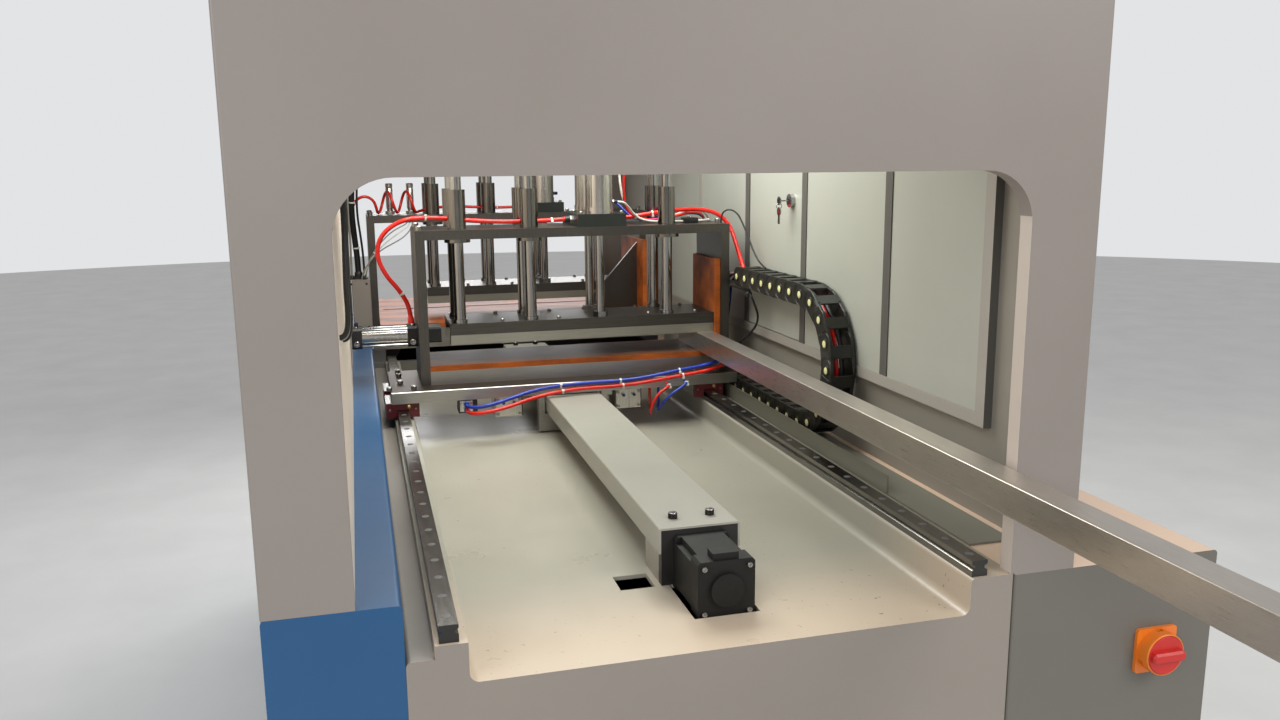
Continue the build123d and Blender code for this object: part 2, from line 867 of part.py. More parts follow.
def gantry_side(left, front, hole):
    """Upright side plate with chamfered foot and, on the cylinder's side, a hole for its rod."""
    plate = box(left, left + gantry_plate, front, front + gantry_depth,
                carriage_top, gantry_top - gantry_plate)
    if hole:
        plate -= bar_x(front + gantry_depth / 2, side_height, left - 1, left + gantry_plate + 1,
                       side_rod_diameter + 2 * rod_clearance)
    return plate


def gantry_roof(left, front):
    """Top plate with holes for the bushings and the press rods."""
    middle = front + gantry_depth / 2
    plate = box(left, gantry_right, front, front + gantry_depth, gantry_top - gantry_plate, gantry_top)
    plate = chamfer(edges_at(plate, Axis.Y, z=gantry_top), 2)
    for x, y in rod_places(middle):
        plate -= bar_z(x, y, gantry_top - gantry_plate - 1, gantry_top + 1, bushing_diameter)
    for x, y in press_places(middle):
        plate -= bar_z(x, y, gantry_top - gantry_plate - 1, gantry_top + 1,
                       press_rod_diameter + 2 * rod_clearance)
    return plate


def bushing(x, y):
    """Tall flanged bushing, with running clearance on its rod."""
    under = gantry_top - gantry_plate
    body = bar_z(x, y, under, gantry_top + bushing_length, bushing_diameter)
    body += bar_z(x, y, under - bushing_flange_height, under, bushing_flange_diameter)
    return body - bar_z(x, y, under - bushing_flange_height - 1, gantry_top + bushing_length + 1,
                        rod_diameter + 2 * bushing_running_gap)


def press_mount(middle):
    """Black block that carries both press cylinders."""
    block = box(press_column - press_mount_width / 2, press_column + press_mount_width / 2,
                middle - press_mount_depth / 2, middle + press_mount_depth / 2,
                gantry_top, gantry_top + press_mount_height)
    for x, y in press_places(middle):
        block -= bar_z(x, y, gantry_top - 1, gantry_top + press_mount_height + 1,
                       press_rod_diameter + 2 * rod_clearance)
    return block


def press_cylinder(x, y):
    """Cylinder body with end caps, bored for its rod."""
    z0 = gantry_top + press_mount_height
    z1 = z0 + press_body_height
    cap = press_body_diameter + 3
    body = bar_z(x, y, z0, z1, press_body_diameter)
    body += bar_z(x, y, z0, z0 + press_cap_height, cap)
    body += bar_z(x, y, z1 - press_cap_height, z1, cap)
    return body - bar_z(x, y, z0 - 1, z1 - press_cap_height + 4, press_rod_diameter + 2 * rod_clearance)


def press_beam(middle):
    """Inverted channel that the rods push down."""
    y0 = middle - beam_depth / 2
    y1 = middle + beam_depth / 2
    beam = box(beam_left, beam_right, y0, y1, beam_bottom, beam_top)
    return beam - box(beam_left - 1, beam_right + 1, y0 + beam_flange, y1 - beam_flange,
                      beam_bottom - 1, beam_top - beam_web)


def press_pads(middle):
    """Two light strips under the flanges of the beam."""
    y0 = middle - beam_depth / 2
    y1 = middle + beam_depth / 2
    return [
        box(beam_left, beam_right, y0, y0 + pad_width, pad_bottom, beam_bottom),
        box(beam_left, beam_right, y1 - pad_width, y1, pad_bottom, beam_bottom),
    ]


def guide_rod(x, y):
    """Polished guide rod with a shouldered foot on the beam."""
    rod = bar_z(x, y, beam_top, gantry_top + rod_rise, rod_diameter)
    rod = chamfer(rod.edges().sort_by(Axis.Z)[-1], 1.5)
    return rod + bar_z(x, y, beam_top, beam_top + rod_foot_height, rod_diameter + 6)


def piston_rod(x, y):
    """Press rod with a nut above the beam."""
    rod = bar_z(x, y, beam_top, gantry_top + press_rod_rise, press_rod_diameter)
    nut = Pos(x, y, beam_top) * extrude(RegularPolygon(press_nut_size / 2, 6), press_nut_height)
    return rod + nut


def save_press(prefix, front):
    """Save the pieces of one press and its bushings, which are the same on both gantries."""
    middle = front + gantry_depth / 2
    bushings = [bushing(x, y) for x, y in rod_places(middle)]
    cylinders = [press_cylinder(x, y) for x, y in press_places(middle)]
    save(f"{prefix}_press_cylinders", press_mount(middle), *cylinders, *bushings)
    save(f"{prefix}_press_beam", press_beam(middle), *press_pads(middle))
    guides = [guide_rod(x, y) for x, y in rod_places(middle)]
    save(f"{prefix}_press_rods", *guides, *[piston_rod(x, y) for x, y in press_places(middle)])


def jaw(front, margin):
    """Tall phenolic jaw plate on the inner side of the right side plate."""
    return box(jaw_left, jaw_left + jaw_thickness, front + margin, front + gantry_depth - margin,
               table_top, table_top + jaw_height)


def side_cylinder():
    """Horizontal clamp cylinder between two square caps, bolted to the left side plate."""
    x0 = opening_left + side_wall_gap
    y = feed_middle
    half = side_cap_size / 2
    body = bar_x(y, side_height, x0, gantry_left, side_tube_diameter)
    for x in (x0, gantry_left - side_cap_length):
        cap = box(x, x + side_cap_length, y - half, y + half, side_height - half, side_height + half)
        body += chamfer(cap.edges().filter_by(Axis.X), 5)
    return body - bar_x(y, side_height, gantry_left - side_rod_length - side_wall_gap, gantry_left + 1,
                        side_rod_diameter + 2 * rod_clearance)


def side_pusher():
    """Black pusher block on its rod, low enough to pass under the press beam."""
    x0 = gantry_left + gantry_plate + pusher_gap
    y = feed_middle
    block = box(x0, x0 + pusher_thickness, y - pusher_width / 2, y + pusher_width / 2,
                pusher_top - pusher_height, pusher_top)
    block = chamfer(block.edges().filter_by(Axis.X), 3)
    return block + bar_x(y, side_height, gantry_left - side_rod_length, x0, side_rod_diameter)


carriage = box(carriage_left, gantry_right, carriage_front, carriage_rear,
               carriage_bottom, carriage_top)
carriage = chamfer(edges_at(carriage, Axis.X, z=carriage_top), 1.5)
anvil = box(inner_left, inner_right, feed_gantry_front, feed_rear, carriage_top, anvil_top)
save("carriage_plate", carriage, anvil)
surface = box(inner_left, inner_right, feed_gantry_front, feed_rear, anvil_top, table_top)
save("feed_phenolic", surface, jaw(feed_gantry_front, jaw_margin))
save_press("feed", feed_gantry_front)
save("side_cylinder", side_cylinder())
save("side_pusher", side_pusher())
stock = box(jaw_left - bar_size, jaw_left, -bar_overhang, bar_tail, table_top, pad_bottom)
stock = fillet(stock.edges().filter_by(Axis.Y), bar_corner_radius)
stock -= box(jaw_left - bar_size + bar_wall, jaw_left - bar_wall, -bar_overhang - 1, bar_tail + 1,
             table_top + bar_wall, pad_bottom - bar_wall)
save("bar_stock", stock)


# Energy chain with its tray, its bracket and its cables

def chain_link():
    """One link along +Y from its pivot: two side plates with round noses, and two cross bars."""
    half = chain_height / 2
    plates = []
    for x0 in (chain_left, chain_right - chain_wall):
        plate = box(x0, x0 + chain_wall, chain_pitch * 0.18, chain_pitch, -half, half)
        plate += bar_x(chain_pitch, 0, x0, x0 + chain_wall, chain_height)
        plates.append(plate - bar_x(0, 0, x0 - 1, x0 + chain_wall + 1, chain_height + 2 * chain_play))
    link = plates[0] + plates[1]
    for z0 in (-half, half - chain_wall / 2):
        link += box(chain_left, chain_right, chain_pitch * 0.48, chain_pitch * 0.86,
                    z0, z0 + chain_wall / 2)
    return link


def chain_pivots():
    """Pivots from the fixed end, along the tray, up round the bend and back to the bracket."""
    for step in range(chain_lower_links):
        yield chain_lower_end - step * chain_pitch, chain_low
    middle = chain_low + chain_radius
    for step in range(chain_bend_links):
        turn = pi * step / chain_bend_links
        yield chain_bend_start - chain_radius * sin(turn), middle - chain_radius * cos(turn)
    for step in range(chain_upper_links + 1):
        yield chain_bend_start + step * chain_pitch, chain_high


def chain_links():
    """All links, each turned from its pivot towards the next one."""
    link = chain_link()
    pivots = list(chain_pivots())
    placed = []
    for (y0, z0), (y1, z1) in zip(pivots, pivots[1:]):
        tilt = degrees(atan2(z1 - z0, y1 - y0))
        placed.append(Pos(0, y0, z0) * Rot(tilt, 0, 0) * link)
    return placed


def chain_cable(x, diameter):
    """Cable along the whole chain, resting on the lower cross bars of its links."""
    chord_drop = chain_radius * (1 - cos(pi / (2 * chain_bend_links)))
    outward = (chain_height - chain_wall - diameter) / 2 - chord_drop - fit_gap
    low = chain_low - outward
    high = chain_high + outward
    nose = chain_bend_start - chain_radius - outward
    run = Line((x, chain_lower_end, low), (x, chain_bend_start, low))
    bend = ThreePointArc((x, chain_bend_start, low), (x, nose, (low + high) / 2),
                         (x, chain_bend_start, high))
    back = Line((x, chain_bend_start, high), (x, chain_upper_end, high))
    section = Plane(run @ 0, z_dir=run % 0) * Circle(diameter / 2)
    return sweep(section, Wire([run, bend, back]))


def chain_tray():
    """Sheet tray under the lower run, with an upright lip on the bed's side."""
    x1 = chain_right + chain_tray_margin
    y1 = chain_lower_end + chain_pitch
    top = cabinet_height + chain_tray_sheet
    tray = box(chain_tray_left, x1, chain_tray_front, y1, cabinet_height, top)
    lip = box(chain_tray_left, chain_tray_left + chain_tray_sheet, chain_lip_front, y1,
              cabinet_height, top + chain_lip_height)
    tray += lip
    return tray + box(chain_left, chain_right, chain_lower_end + chain_height / 6, y1,
                      top - 1, top + chain_lip_height)


def chain_bracket():
    """Angle on the gantry's right plate that carries the last link."""
    y0 = chain_upper_end - chain_pitch
    y1 = feed_gantry_front + gantry_depth / 2
    shelf_top = chain_high - chain_height / 2 - fit_gap
    web = box(gantry_right, gantry_right + chain_web_thickness, feed_gantry_front + chain_shelf_thickness, y1,
              shelf_top - chain_height, shelf_top + chain_lip_height)
    return web + box(gantry_right, chain_right, y0, y1, shelf_top - chain_shelf_thickness, shelf_top)


save("energy_chain", *chain_links())
cable_pitch = (chain_width - 2 * chain_wall) / 4
save("chain_cables", *[
    chain_cable(chain_left + chain_wall + cable_pitch * (place + 1), diameter)
    for place, diameter in enumerate((9, 7, 8))
])
save("chain_tray", chain_tray())
save(
    "feed_gantry",
    gantry_side(gantry_left, feed_gantry_front, True),
    gantry_side(inner_right, feed_gantry_front, False),
    gantry_roof(gantry_left, feed_gantry_front),
    chain_bracket(),
)


# Saw table, saw unit and its slides

def slotted(plate):
    """A table plate with the long slot for the blade cut through it."""
    return plate - box(slot_left, slot_right, blade_y - slot_width / 2, blade_y + slot_width / 2,
                       carriage_bottom - 1, table_top + 1)


def junction_box():
    """Small box on the outer side of the left plate, where the hanging cables end."""
    x1 = saw_table_left
    box_left = x1 - junction_width
    bottom = table_top - junction_drop
    body = box(box_left, x1, saw_gantry_front - gantry_plate, saw_gantry_front + junction_depth,
               bottom, bottom + junction_height)
    return chamfer(body.edges().filter_by(Axis.Z), 2)


def saw_gusset():
    """Three-cornered brace in front of the fixed jaw of the saw."""
    y1 = saw_gantry_front - gusset_gap
    outline = [
        (jaw_left - gusset_width, table_top),
        (jaw_left, table_top),
        (jaw_left, table_top + jaw_height - gusset_drop),
    ]
    return along_y(outline, y1 - gusset_thickness, y1)


def lift_plate():
    """Upright plate that carries the spindle and the motor, with two bushing blocks per post."""
    y0 = lift_front
    x = saw_park_x
    half = (post_spacing + lift_block_size) / 2
    plate = box(x - half, x + half, y0, y0 + saw_carriage_plate, lift_low, blade_height + lift_plate_rise)
    reach = lift_block_size / 2
    for side in (-1, 1):
        post = x + side * post_spacing / 2
        for z0 in (lift_low, blade_height - 2 * spindle_housing_diameter):
            plate += box(post - reach, post + reach, post_y - reach, y0, z0, z0 + lift_block_height)
        plate -= bar_z(post, post_y, lift_low - 1, blade_height + lift_plate_rise + 1,
                       post_diameter + 2 * bushing_running_gap)
    plate += box(x - lift_block_size, x + lift_block_size, y0, lift_cylinder_y + lift_block_size,
                 lift_low, lift_low + lift_foot_thickness)
    plate -= bar_y(x, blade_height, y0 - 1, y0 + saw_carriage_plate + 1, spindle_housing_diameter)
    return plate - bar_y(x, saw_motor_z, y0 - 1, y0 + saw_carriage_plate + 1, lift_motor_hole)


def blade():
    """Carbide saw blade with a ring of teeth and a bore on the spindle."""
    disc = bar_y(saw_park_x, blade_height, blade_y - blade_thickness / 2, blade_y + blade_thickness / 2,
                 blade_diameter - blade_gullet - 2)
    radius = blade_diameter / 2
    pitch = 2 * pi / blade_teeth
    outline = []
    for tooth in range(blade_teeth):
        turn = tooth * pitch
        outline.append((radius * cos(turn), radius * sin(turn)))
        turn += pitch / 4
        outline.append(((radius - blade_gullet) * cos(turn), (radius - blade_gullet) * sin(turn)))
    ring = along_y([(saw_park_x + dx, blade_height + dz) for dx, dz in outline],
                   blade_y - blade_thickness / 2, blade_y + blade_thickness / 2)
    return ring + disc - bar_y(saw_park_x, blade_height, blade_y - 9, blade_y + 9, spindle_diameter)


def spindle():
    """Spindle with its blade flanges and its pulley."""
    x = saw_park_x
    z = blade_height
    half = blade_thickness / 2
    grip = half + spindle_flange_thickness
    turned = bar_y(x, z, blade_y - grip - spindle_tip, pulley_y + pulley_width / 2 + spindle_tip,
                   spindle_diameter)
    turned += bar_y(x, z, blade_y - grip, blade_y - half, spindle_flange_diameter)
    turned += bar_y(x, z, blade_y + half, blade_y + grip, spindle_flange_diameter)
    return turned + bar_y(x, z, pulley_y - pulley_width / 2, pulley_y + pulley_width / 2, pulley_diameter)


def belt():
    """Flat loop round both pulleys, a hair clear of them."""
    radius = pulley_diameter / 2 + fit_gap
    low = saw_motor_z
    y0 = pulley_y - pulley_width / 2 + belt_margin
    y1 = pulley_y + pulley_width / 2 - belt_margin
    outer = radius + belt_thickness
    loop = bar_y(saw_park_x, blade_height, y0, y1, 2 * outer) + bar_y(saw_park_x, low, y0, y1, 2 * outer)
    loop += box(saw_park_x - outer, saw_park_x + outer, y0, y1, low, blade_height)
    loop -= box(saw_park_x - radius, saw_park_x + radius, y0 - 1, y1 + 1, low, blade_height)
    loop -= bar_y(saw_park_x, blade_height, y0 - 1, y1 + 1, 2 * radius)
    return loop - bar_y(saw_park_x, low, y0 - 1, y1 + 1, 2 * radius)


saw_floor = foot_height + bed_wall
saw_rear = saw_gantry_front + gantry_depth
table_inner = saw_table_left + gantry_plate
beam_front = bed_length + 2
save(
    "saw_table",
    box(-bed_half, -bed_half + saw_beam_width, beam_front, saw_table_rear,
        cabinet_height, carriage_bottom),
    box(saw_table_right - saw_right_beam_width, saw_table_right, beam_front, saw_table_rear,
        cabinet_height, carriage_bottom),
    slotted(box(saw_table_left, saw_table_right, saw_table_front, saw_table_rear,
                carriage_bottom, carriage_top)),
    slotted(box(table_inner, inner_right, saw_table_front, saw_table_rear, carriage_top, anvil_top)),
)
saw_jaw = box(jaw_left, inner_right, saw_table_front, saw_rear - jaw_margin,
              table_top, table_top + jaw_height)
save(
    "saw_phenolic",
    slotted(box(table_inner, inner_right, saw_table_front, saw_table_rear, anvil_top, table_top)),
    saw_jaw,
)
save(
    "saw_gantry",
    gantry_side(saw_table_left, saw_gantry_front, False),
    gantry_side(inner_right, saw_gantry_front, False),
    gantry_roof(saw_table_left, saw_gantry_front),
    saw_gusset(),
    junction_box(),
)
save_press("saw", saw_gantry_front)

rail_end = bed_half - bed_wall - saw_rail_end_gap
rail_reach = saw_rail_size / 2
saw_rails = [
    box(-rail_end, rail_end - saw_rail_end_gap - 2, y - rail_reach, y + rail_reach,
        saw_floor, saw_floor + saw_rail_size)
    for y in (saw_rail_front, saw_rail_rear)
]
save("saw_housing", saw_housing(), *saw_rails)


def saw_trolley():
    """Base plate of the saw unit on four shoes, which straddle the rails with a running gap."""
    plate_z = saw_floor + saw_rail_size + trolley_clearance
    half = saw_carriage_width / 2
    plate = box(saw_park_x - half, saw_park_x + half, saw_carriage_front, saw_carriage_rear,
                plate_z, trolley_top)
    reach = saw_shoe_size / 2
    groove = rail_reach + block_running_gap
    for y in (saw_rail_front, saw_rail_rear):
        for side in (-1, 1):
            x = saw_park_x + side * (half - saw_shoe_inset)
            shoe = box(x - reach, x + reach, y - saw_shoe_depth / 2, y + saw_shoe_depth / 2,
                       saw_floor + saw_shoe_lift, plate_z)
            plate += shoe - box(x - reach - 1, x + reach + 1, y - groove, y + groove,
                                saw_floor, saw_floor + saw_rail_size + block_running_gap)
    return plate


trolley_top = saw_floor + saw_rail_size + trolley_clearance + saw_carriage_plate
posts = [
    bar_z(saw_park_x + side * post_spacing / 2, post_y, trolley_top, post_top, post_diameter)
    for side in (-1, 1)
]
lift_barrel = bar_z(saw_park_x, lift_cylinder_y, trolley_top, lift_low - saw_shoe_lift - 2,
                    lift_cylinder_diameter)
barrel_floor = trolley_top + lift_cylinder_floor
lift_barrel -= bar_z(saw_park_x, lift_cylinder_y, barrel_floor, lift_low,
                     side_rod_diameter + 2 * rod_clearance)
save("saw_trolley", saw_trolley(), *posts, lift_barrel)
lift_rod = bar_z(saw_park_x, lift_cylinder_y, barrel_floor + 2, lift_low, side_rod_diameter)
housing_front = blade_y + blade_thickness / 2 + spindle_flange_thickness + 3
housing_rear = pulley_y - pulley_width / 2 - 5
spindle_housing = bar_y(saw_park_x, blade_height, housing_front, housing_rear, spindle_housing_diameter)
spindle_housing -= bar_y(saw_park_x, blade_height, housing_front - 1, housing_rear + 1,
                         spindle_diameter + 2 * hinge_running_gap)
save("lift_plate", lift_plate(), lift_rod, spindle_housing)
save("spindle", spindle())
save("saw_blade", blade())
motor_face = lift_front - saw_motor_length
shaft_front = lift_front - saw_motor_shaft_reach - saw_carriage_plate
saw_motor = bar_y(saw_park_x, saw_motor_z, motor_face, lift_front, saw_motor_diameter)
saw_motor += bar_y(saw_park_x, saw_motor_z, motor_face - 10, motor_face, saw_motor_diameter - 30)
saw_motor -= bar_y(saw_park_x, saw_motor_z, shaft_front, lift_front + 1, saw_motor_bore)
save("saw_motor", saw_motor)
motor_pulley = bar_y(saw_park_x, saw_motor_z, shaft_front + 2, pulley_y + pulley_width / 2 + spindle_tip,
                     saw_motor_shaft)
motor_pulley += bar_y(saw_park_x, saw_motor_z, pulley_y - pulley_width / 2, pulley_y + pulley_width / 2,
                      pulley_diameter)
save("motor_pulley", motor_pulley)
save("drive_belt", belt())


# Side door, cabinet door, lock and main switch

def hinge(x, y, z):
    """One hinge on an outer side: its fixed leaf with a pin, and its moving leaf."""
    axis = x + hinge_leaf_thickness + hinge_barrel_diameter / 2 - fit_gap
    bottom = z - hinge_barrel_length
    top = z + hinge_barrel_length
    fixed = box(x, x + hinge_leaf_thickness, y + hinge_leaf_gap, y + hinge_leaf_gap + hinge_leaf_width,
                bottom, top)
    moving = box(x, x + hinge_leaf_thickness, y - hinge_leaf_gap - hinge_leaf_width, y - hinge_leaf_gap,
                 bottom, top)
    fixed += box(x, axis, y, y + hinge_lug, bottom, z - fit_gap)
    fixed += bar_z(axis, y, bottom, z - fit_gap, hinge_barrel_diameter)
    fixed += bar_z(axis, y, bottom, top - 1, hinge_pin_diameter)
    moving += box(x, axis, y - hinge_lug, y, z, top)
    moving += bar_z(axis, y, z, top, hinge_barrel_diameter)
    moving -= bar_z(axis, y, z - 1, top - 0.5, hinge_pin_diameter + 2 * hinge_running_gap)
    return fixed, moving


def key():
    """Key in the lock with a round bow, and a spare that hangs from it on a ring."""
    face = door_inner - lock_proud
    y = lock_y
    z = lock_height
    x = face - key_reach
    half = key_thickness / 2
    hole = key_bow_diameter / 2 - key_hole_inset
    blade_half = key_blade_width / 2
    bow = bar_x(y, z, x - half, x + half, key_bow_diameter)
    bow -= bar_x(y, z - hole, x - half - 1, x + half + 1, key_hole_diameter)
    turned = bow + box(x, door_inner - 3, y - blade_half, y + blade_half, z - half, z + half)
    ring_middle = z - hole - key_ring_radius
    ring = Pos(x, y, ring_middle) * Rot(90, 0, 0) * Torus(key_ring_radius, key_ring_wire / 2)
    spare_middle = ring_middle - key_ring_radius - hole
    spare = bar_x(y, spare_middle, x - half, x + half, key_bow_diameter)
    spare += box(x - half, x + half, y - blade_half, y + blade_half,
                 spare_middle - key_length, spare_middle)
    spare -= bar_x(y, spare_middle + hole, x - half - 1, x + half + 1, key_hole_diameter)
    return [turned, ring, spare]


side_door = door_leaf(door_front_post, door_rear_post, door_gap)
side_door -= bar_x(lock_y, lock_height, door_inner - 1, portal_right + 1, lock_diameter)
lock = bar_x(lock_y, lock_height, door_inner - lock_proud, portal_right, lock_diameter)
lock += bar_x(lock_y, lock_height, door_inner - lock_proud, door_inner, lock_diameter + lock_collar)
lock -= bar_x(lock_y, lock_height, door_inner - lock_proud - 1, door_inner - 2, keyway_diameter)
save("door_lock", lock)
save("door_key", *key())
fixed_leaves = []
moving_leaves = []
for z in (door_frame_bottom + hinge_end_distance, door_frame_top - hinge_end_distance):
    fixed, moving = hinge(portal_right, door_rear_post, z)
    fixed_leaves.append(fixed)
    moving_leaves.append(moving)
save("right_wall", right_wall(), *fixed_leaves)
save("side_door", side_door, *moving_leaves)

cabinet_leaf = box(cabinet_right - cabinet_door_thickness, cabinet_right,
                   cabinet_door_front + door_gap, cabinet_door_rear - door_gap,
                   cabinet_door_bottom + door_gap, cabinet_door_top - door_gap)
fixed_leaves = []
moving_leaves = []
for z in (cabinet_door_bottom + hinge_end_distance, cabinet_door_top - hinge_end_distance):
    fixed, moving = hinge(cabinet_right, cabinet_door_rear, z)
    fixed_leaves.append(fixed)
    moving_leaves.append(moving)
save("cabinet", cabinet(), *fixed_leaves)
save("cabinet_door", cabinet_leaf, *moving_leaves)


def switch_base():
    """Square plate and deep round collar of the main switch, with slots for padlocks at its foot."""
    half = switch_plate / 2
    plate = box(switch_x - half, switch_x + half, -switch_plate_thickness, 0,
                switch_height - half, switch_height + half)
    plate = fillet(plate.edges().filter_by(Axis.Y), switch_plate_radius)
    collar = bar_y(switch_x, switch_height, switch_face, -switch_plate_thickness, switch_collar_diameter)
    collar = fillet(collar.edges().filter_by(GeomType.CIRCLE).sort_by(Axis.Y)[0], 2)
    outer = switch_collar_diameter / 2
    for place in range(switch_slots):
        turn = 360 * place / switch_slots
        slot = box(outer - switch_slot_reach, outer + 1, -switch_plate_thickness - switch_slot_depth,
                   -switch_plate_thickness, -switch_slot_width / 2, switch_slot_width / 2)
        collar -= Pos(switch_x, 0, switch_height) * Rot(0, -90 + turn, 0) * slot
    collar -= bar_y(switch_x, switch_height, switch_face - 1, switch_face + switch_disc_thickness,
                    switch_knob_diameter + 1)
    plate += collar
    return plate - bar_y(switch_x, switch_height, switch_face - 1, -switch_plate_thickness,
                         switch_hub_diameter + 2 * hinge_running_gap)


def switch_knob():
    """Round disc sunk in the collar, with a raised grip across it and a hub in the collar."""
    seat = switch_face + switch_disc_thickness - fit_gap
    front = switch_face - 1
    hub = bar_y(switch_x, switch_height, seat, -switch_plate_thickness - fit_gap, switch_hub_diameter)
    disc = bar_y(switch_x, switch_height, front, seat, switch_knob_diameter)
    disc = fillet(disc.edges().filter_by(GeomType.CIRCLE).sort_by(Axis.Y)[0], 1.5)
    half = switch_knob_diameter / 2
    wide = switch_grip_width / 2
    grip = box(switch_x - half + 1, switch_x + half - 1, front - switch_grip_height, seat,
               switch_height - wide, switch_height + wide)
    grip = fillet(grip.edges().filter_by(Axis.Y), wide - 1)
    ridge = grip.faces().sort_by(Axis.Y)[0].edges()
    grip = chamfer(ridge, 3)
    return hub + disc + grip


save("switch_base", switch_base())
save("switch_knob", switch_knob())


# Compact cylinders under the front of the carriage plate, and a valve with its fittings

def compact_cylinder(x):
    """Square compact cylinder that hangs under the carriage plate and locks the nut bracket."""
    half = compact_size / 2
    y0 = carriage_front + compact_inset
    top = carriage_bottom
    body = box(x - half, x + half, y0, y0 + compact_size, top - compact_height, top)
    body = chamfer(body.edges().filter_by(Axis.Z), compact_chamfer)
    return body - box(x - 2, x + 2, y0 - 1, y0 + 2, top - compact_height - 1, top + 1)


def valve():
    """Black valve with two fittings, under the left end of the carriage plate's front."""
    y0 = carriage_front + compact_inset
    body = box(valve_x - valve_width / 2, valve_x + valve_width / 2, y0, y0 + valve_width,
               carriage_bottom - valve_height, carriage_bottom)
    for drop in (upper_fitting_drop, lower_fitting_drop):
        body += bar_y(valve_x - fitting_offset, carriage_bottom - drop, fitting_front, y0, fitting_diameter)
    return body


save("carriage_cylinders", compact_cylinder(compact_left_x), compact_cylinder(compact_right_x), valve())


# Hoses and cables

def tube(points, diameter):
    """Plain tube along straight runs joined by arcs as large as the runs allow."""
    path_points = [Vector(*point) for point in points]
    radii = []
    for before, at, after in zip(path_points, path_points[1:], path_points[2:]):
        turn = radians((at - before).get_angle(after - at))
        shorter = min((at - before).length, (after - at).length)
        radii.append(0.45 * shorter / tan(turn / 2))
    path = FilletPolyline(*path_points, radius=radii)
    section = Plane(path @ 0, z_dir=path % 0) * Circle(diameter / 2)
    solid = sweep(section, path)
    print("tube length", round(path.length), "tightest bend", round(min(radii)))
    return solid


mount_left = press_column - press_mount_width / 2
mount_right = press_column + press_mount_width / 2
side_hose_x = gantry_left - side_cap_length / 2 - 1
side_cap_top = side_height + side_cap_size / 2
side_hose_route = [
    (side_hose_x, feed_middle, side_cap_top),
    (side_hose_x, feed_middle, side_cap_top + 36),
    (gantry_left - 33, feed_middle - 8, side_cap_top + 78),
    (gantry_left - 64, feed_middle - 17, gantry_top - 97),
    (gantry_left - 81, feed_middle - 23, gantry_top - 51),
    (gantry_left - 67, feed_middle - 27, gantry_top - 7),
    (gantry_left - 23, feed_middle - 26, gantry_top + 22),
    (gantry_left + 33, feed_middle - 20, gantry_top + 25),
    (left_rod_x + 1, feed_middle - 16, gantry_top + 19),
    (left_rod_x + 71, feed_middle - 15, gantry_top + 13),
    (middle_rod_x - 17, feed_middle - 17, gantry_top + 11),
    (middle_rod_x + 45, feed_middle - 16, gantry_top + 12),
    (mount_left - hose_lead, feed_middle - 15, gantry_top + 14),
    (mount_left, feed_middle - 15, gantry_top + 14),
]
save("side_hose", tube(side_hose_route, side_hose_diameter))
front = carriage_front
upper = carriage_bottom - upper_fitting_drop
lower = carriage_bottom - lower_fitting_drop
fitting_x = valve_x - fitting_offset
plate_x = inner_right + gantry_plate / 2
red_route = [
    (fitting_x, fitting_front, lower),
    (fitting_x, front - 30, lower),
    (fitting_x + 12, front - 51, lower + 2),
    (fitting_x + 33, front - 63, lower + 5),
    (fitting_x + 58, front - 63, lower + 9),
    (fitting_x + 92, front - 52, lower + 14),
    (fitting_x + 136, front - 35, lower + 23),
    (screw_x - 41, front - 20, lower + 30),
    (screw_x + 27, front - 12, lower + 33),
    (screw_x + 82, front - 11, lower + 32),
    (screw_x + 136, front - 13, lower + 35),
    (screw_x + 190, front - 14, lower + 41),
    (plate_x - 137, front - 14, lower + 47),
    (plate_x - 96, front - 16, lower + 52),
    (plate_x - 67, front - 15, lower + 56),
    (plate_x - 42, front - 8, lower + 60),
    (plate_x - 20, front + 5, lower + 64),
    (plate_x - 5, front + 21, lower + 67),
    (plate_x, front + 40, lower + 68),
    (plate_x, feed_gantry_front, lower + 68),
]
save("front_red_tube", tube(red_route, front_tube_diameter))
blue_route = [
    (fitting_x, fitting_front, upper),
    (fitting_x, front - 27, upper),
    (fitting_x + 12, front - 46, upper + 2),
    (fitting_x + 33, front - 56, upper + 5),
    (fitting_x + 58, front - 55, upper + 10),
    (fitting_x + 94, front - 43, upper + 17),
    (fitting_x + 140, front - 27, upper + 26),
    (screw_x - 36, front - 15, upper + 31),
    (screw_x + 32, front - 10, upper + 32),
    (screw_x + 88, front - 9, upper + 31),
    (screw_x + 142, front - 11, upper + 34),
    (screw_x + 196, front - 12, upper + 41),
    (plate_x - 131, front - 11, upper + 48),
    (plate_x - 91, front - 12, upper + 53),
    (plate_x - 63, front - 10, upper + 57),
    (plate_x - 39, front - 3, upper + 61),
    (plate_x - 18, front + 9, upper + 65),
    (plate_x - 4, front + 24, upper + 68),
    (plate_x, front + 41, upper + 70),
    (plate_x, feed_gantry_front, upper + 70),
]
save("front_blue_tube", tube(blue_route, front_tube_diameter))
gantry_route = [
    (mount_right, feed_middle, gantry_top + 14),
    (mount_right + hose_lead, feed_middle, gantry_top + 14),
    (mount_right + 45, feed_middle + 1, gantry_top + 17),
    (right_rod_x - 12, feed_middle - 2, gantry_top + 24),
    (right_rod_x + 42, feed_middle - 1, gantry_top + 29),
    (gantry_right - 47, feed_middle - 4, gantry_top + 31),
    (gantry_right - 1, feed_middle - 12, gantry_top + 21),
    (gantry_right + 25, feed_middle - 26, gantry_top - 9),
    (gantry_right + 31, feed_middle - 50, gantry_top - 49),
    (gantry_right + 31, feed_middle - 82, gantry_top - 85),
    (chain_left + chain_width / 2, chain_upper_end + 8, chain_high + 2),
]
save("gantry_red_tube", tube(gantry_route, gantry_tube_diameter))
wire_x = gantry_right - 10
wire_y = feed_gantry_front + 30
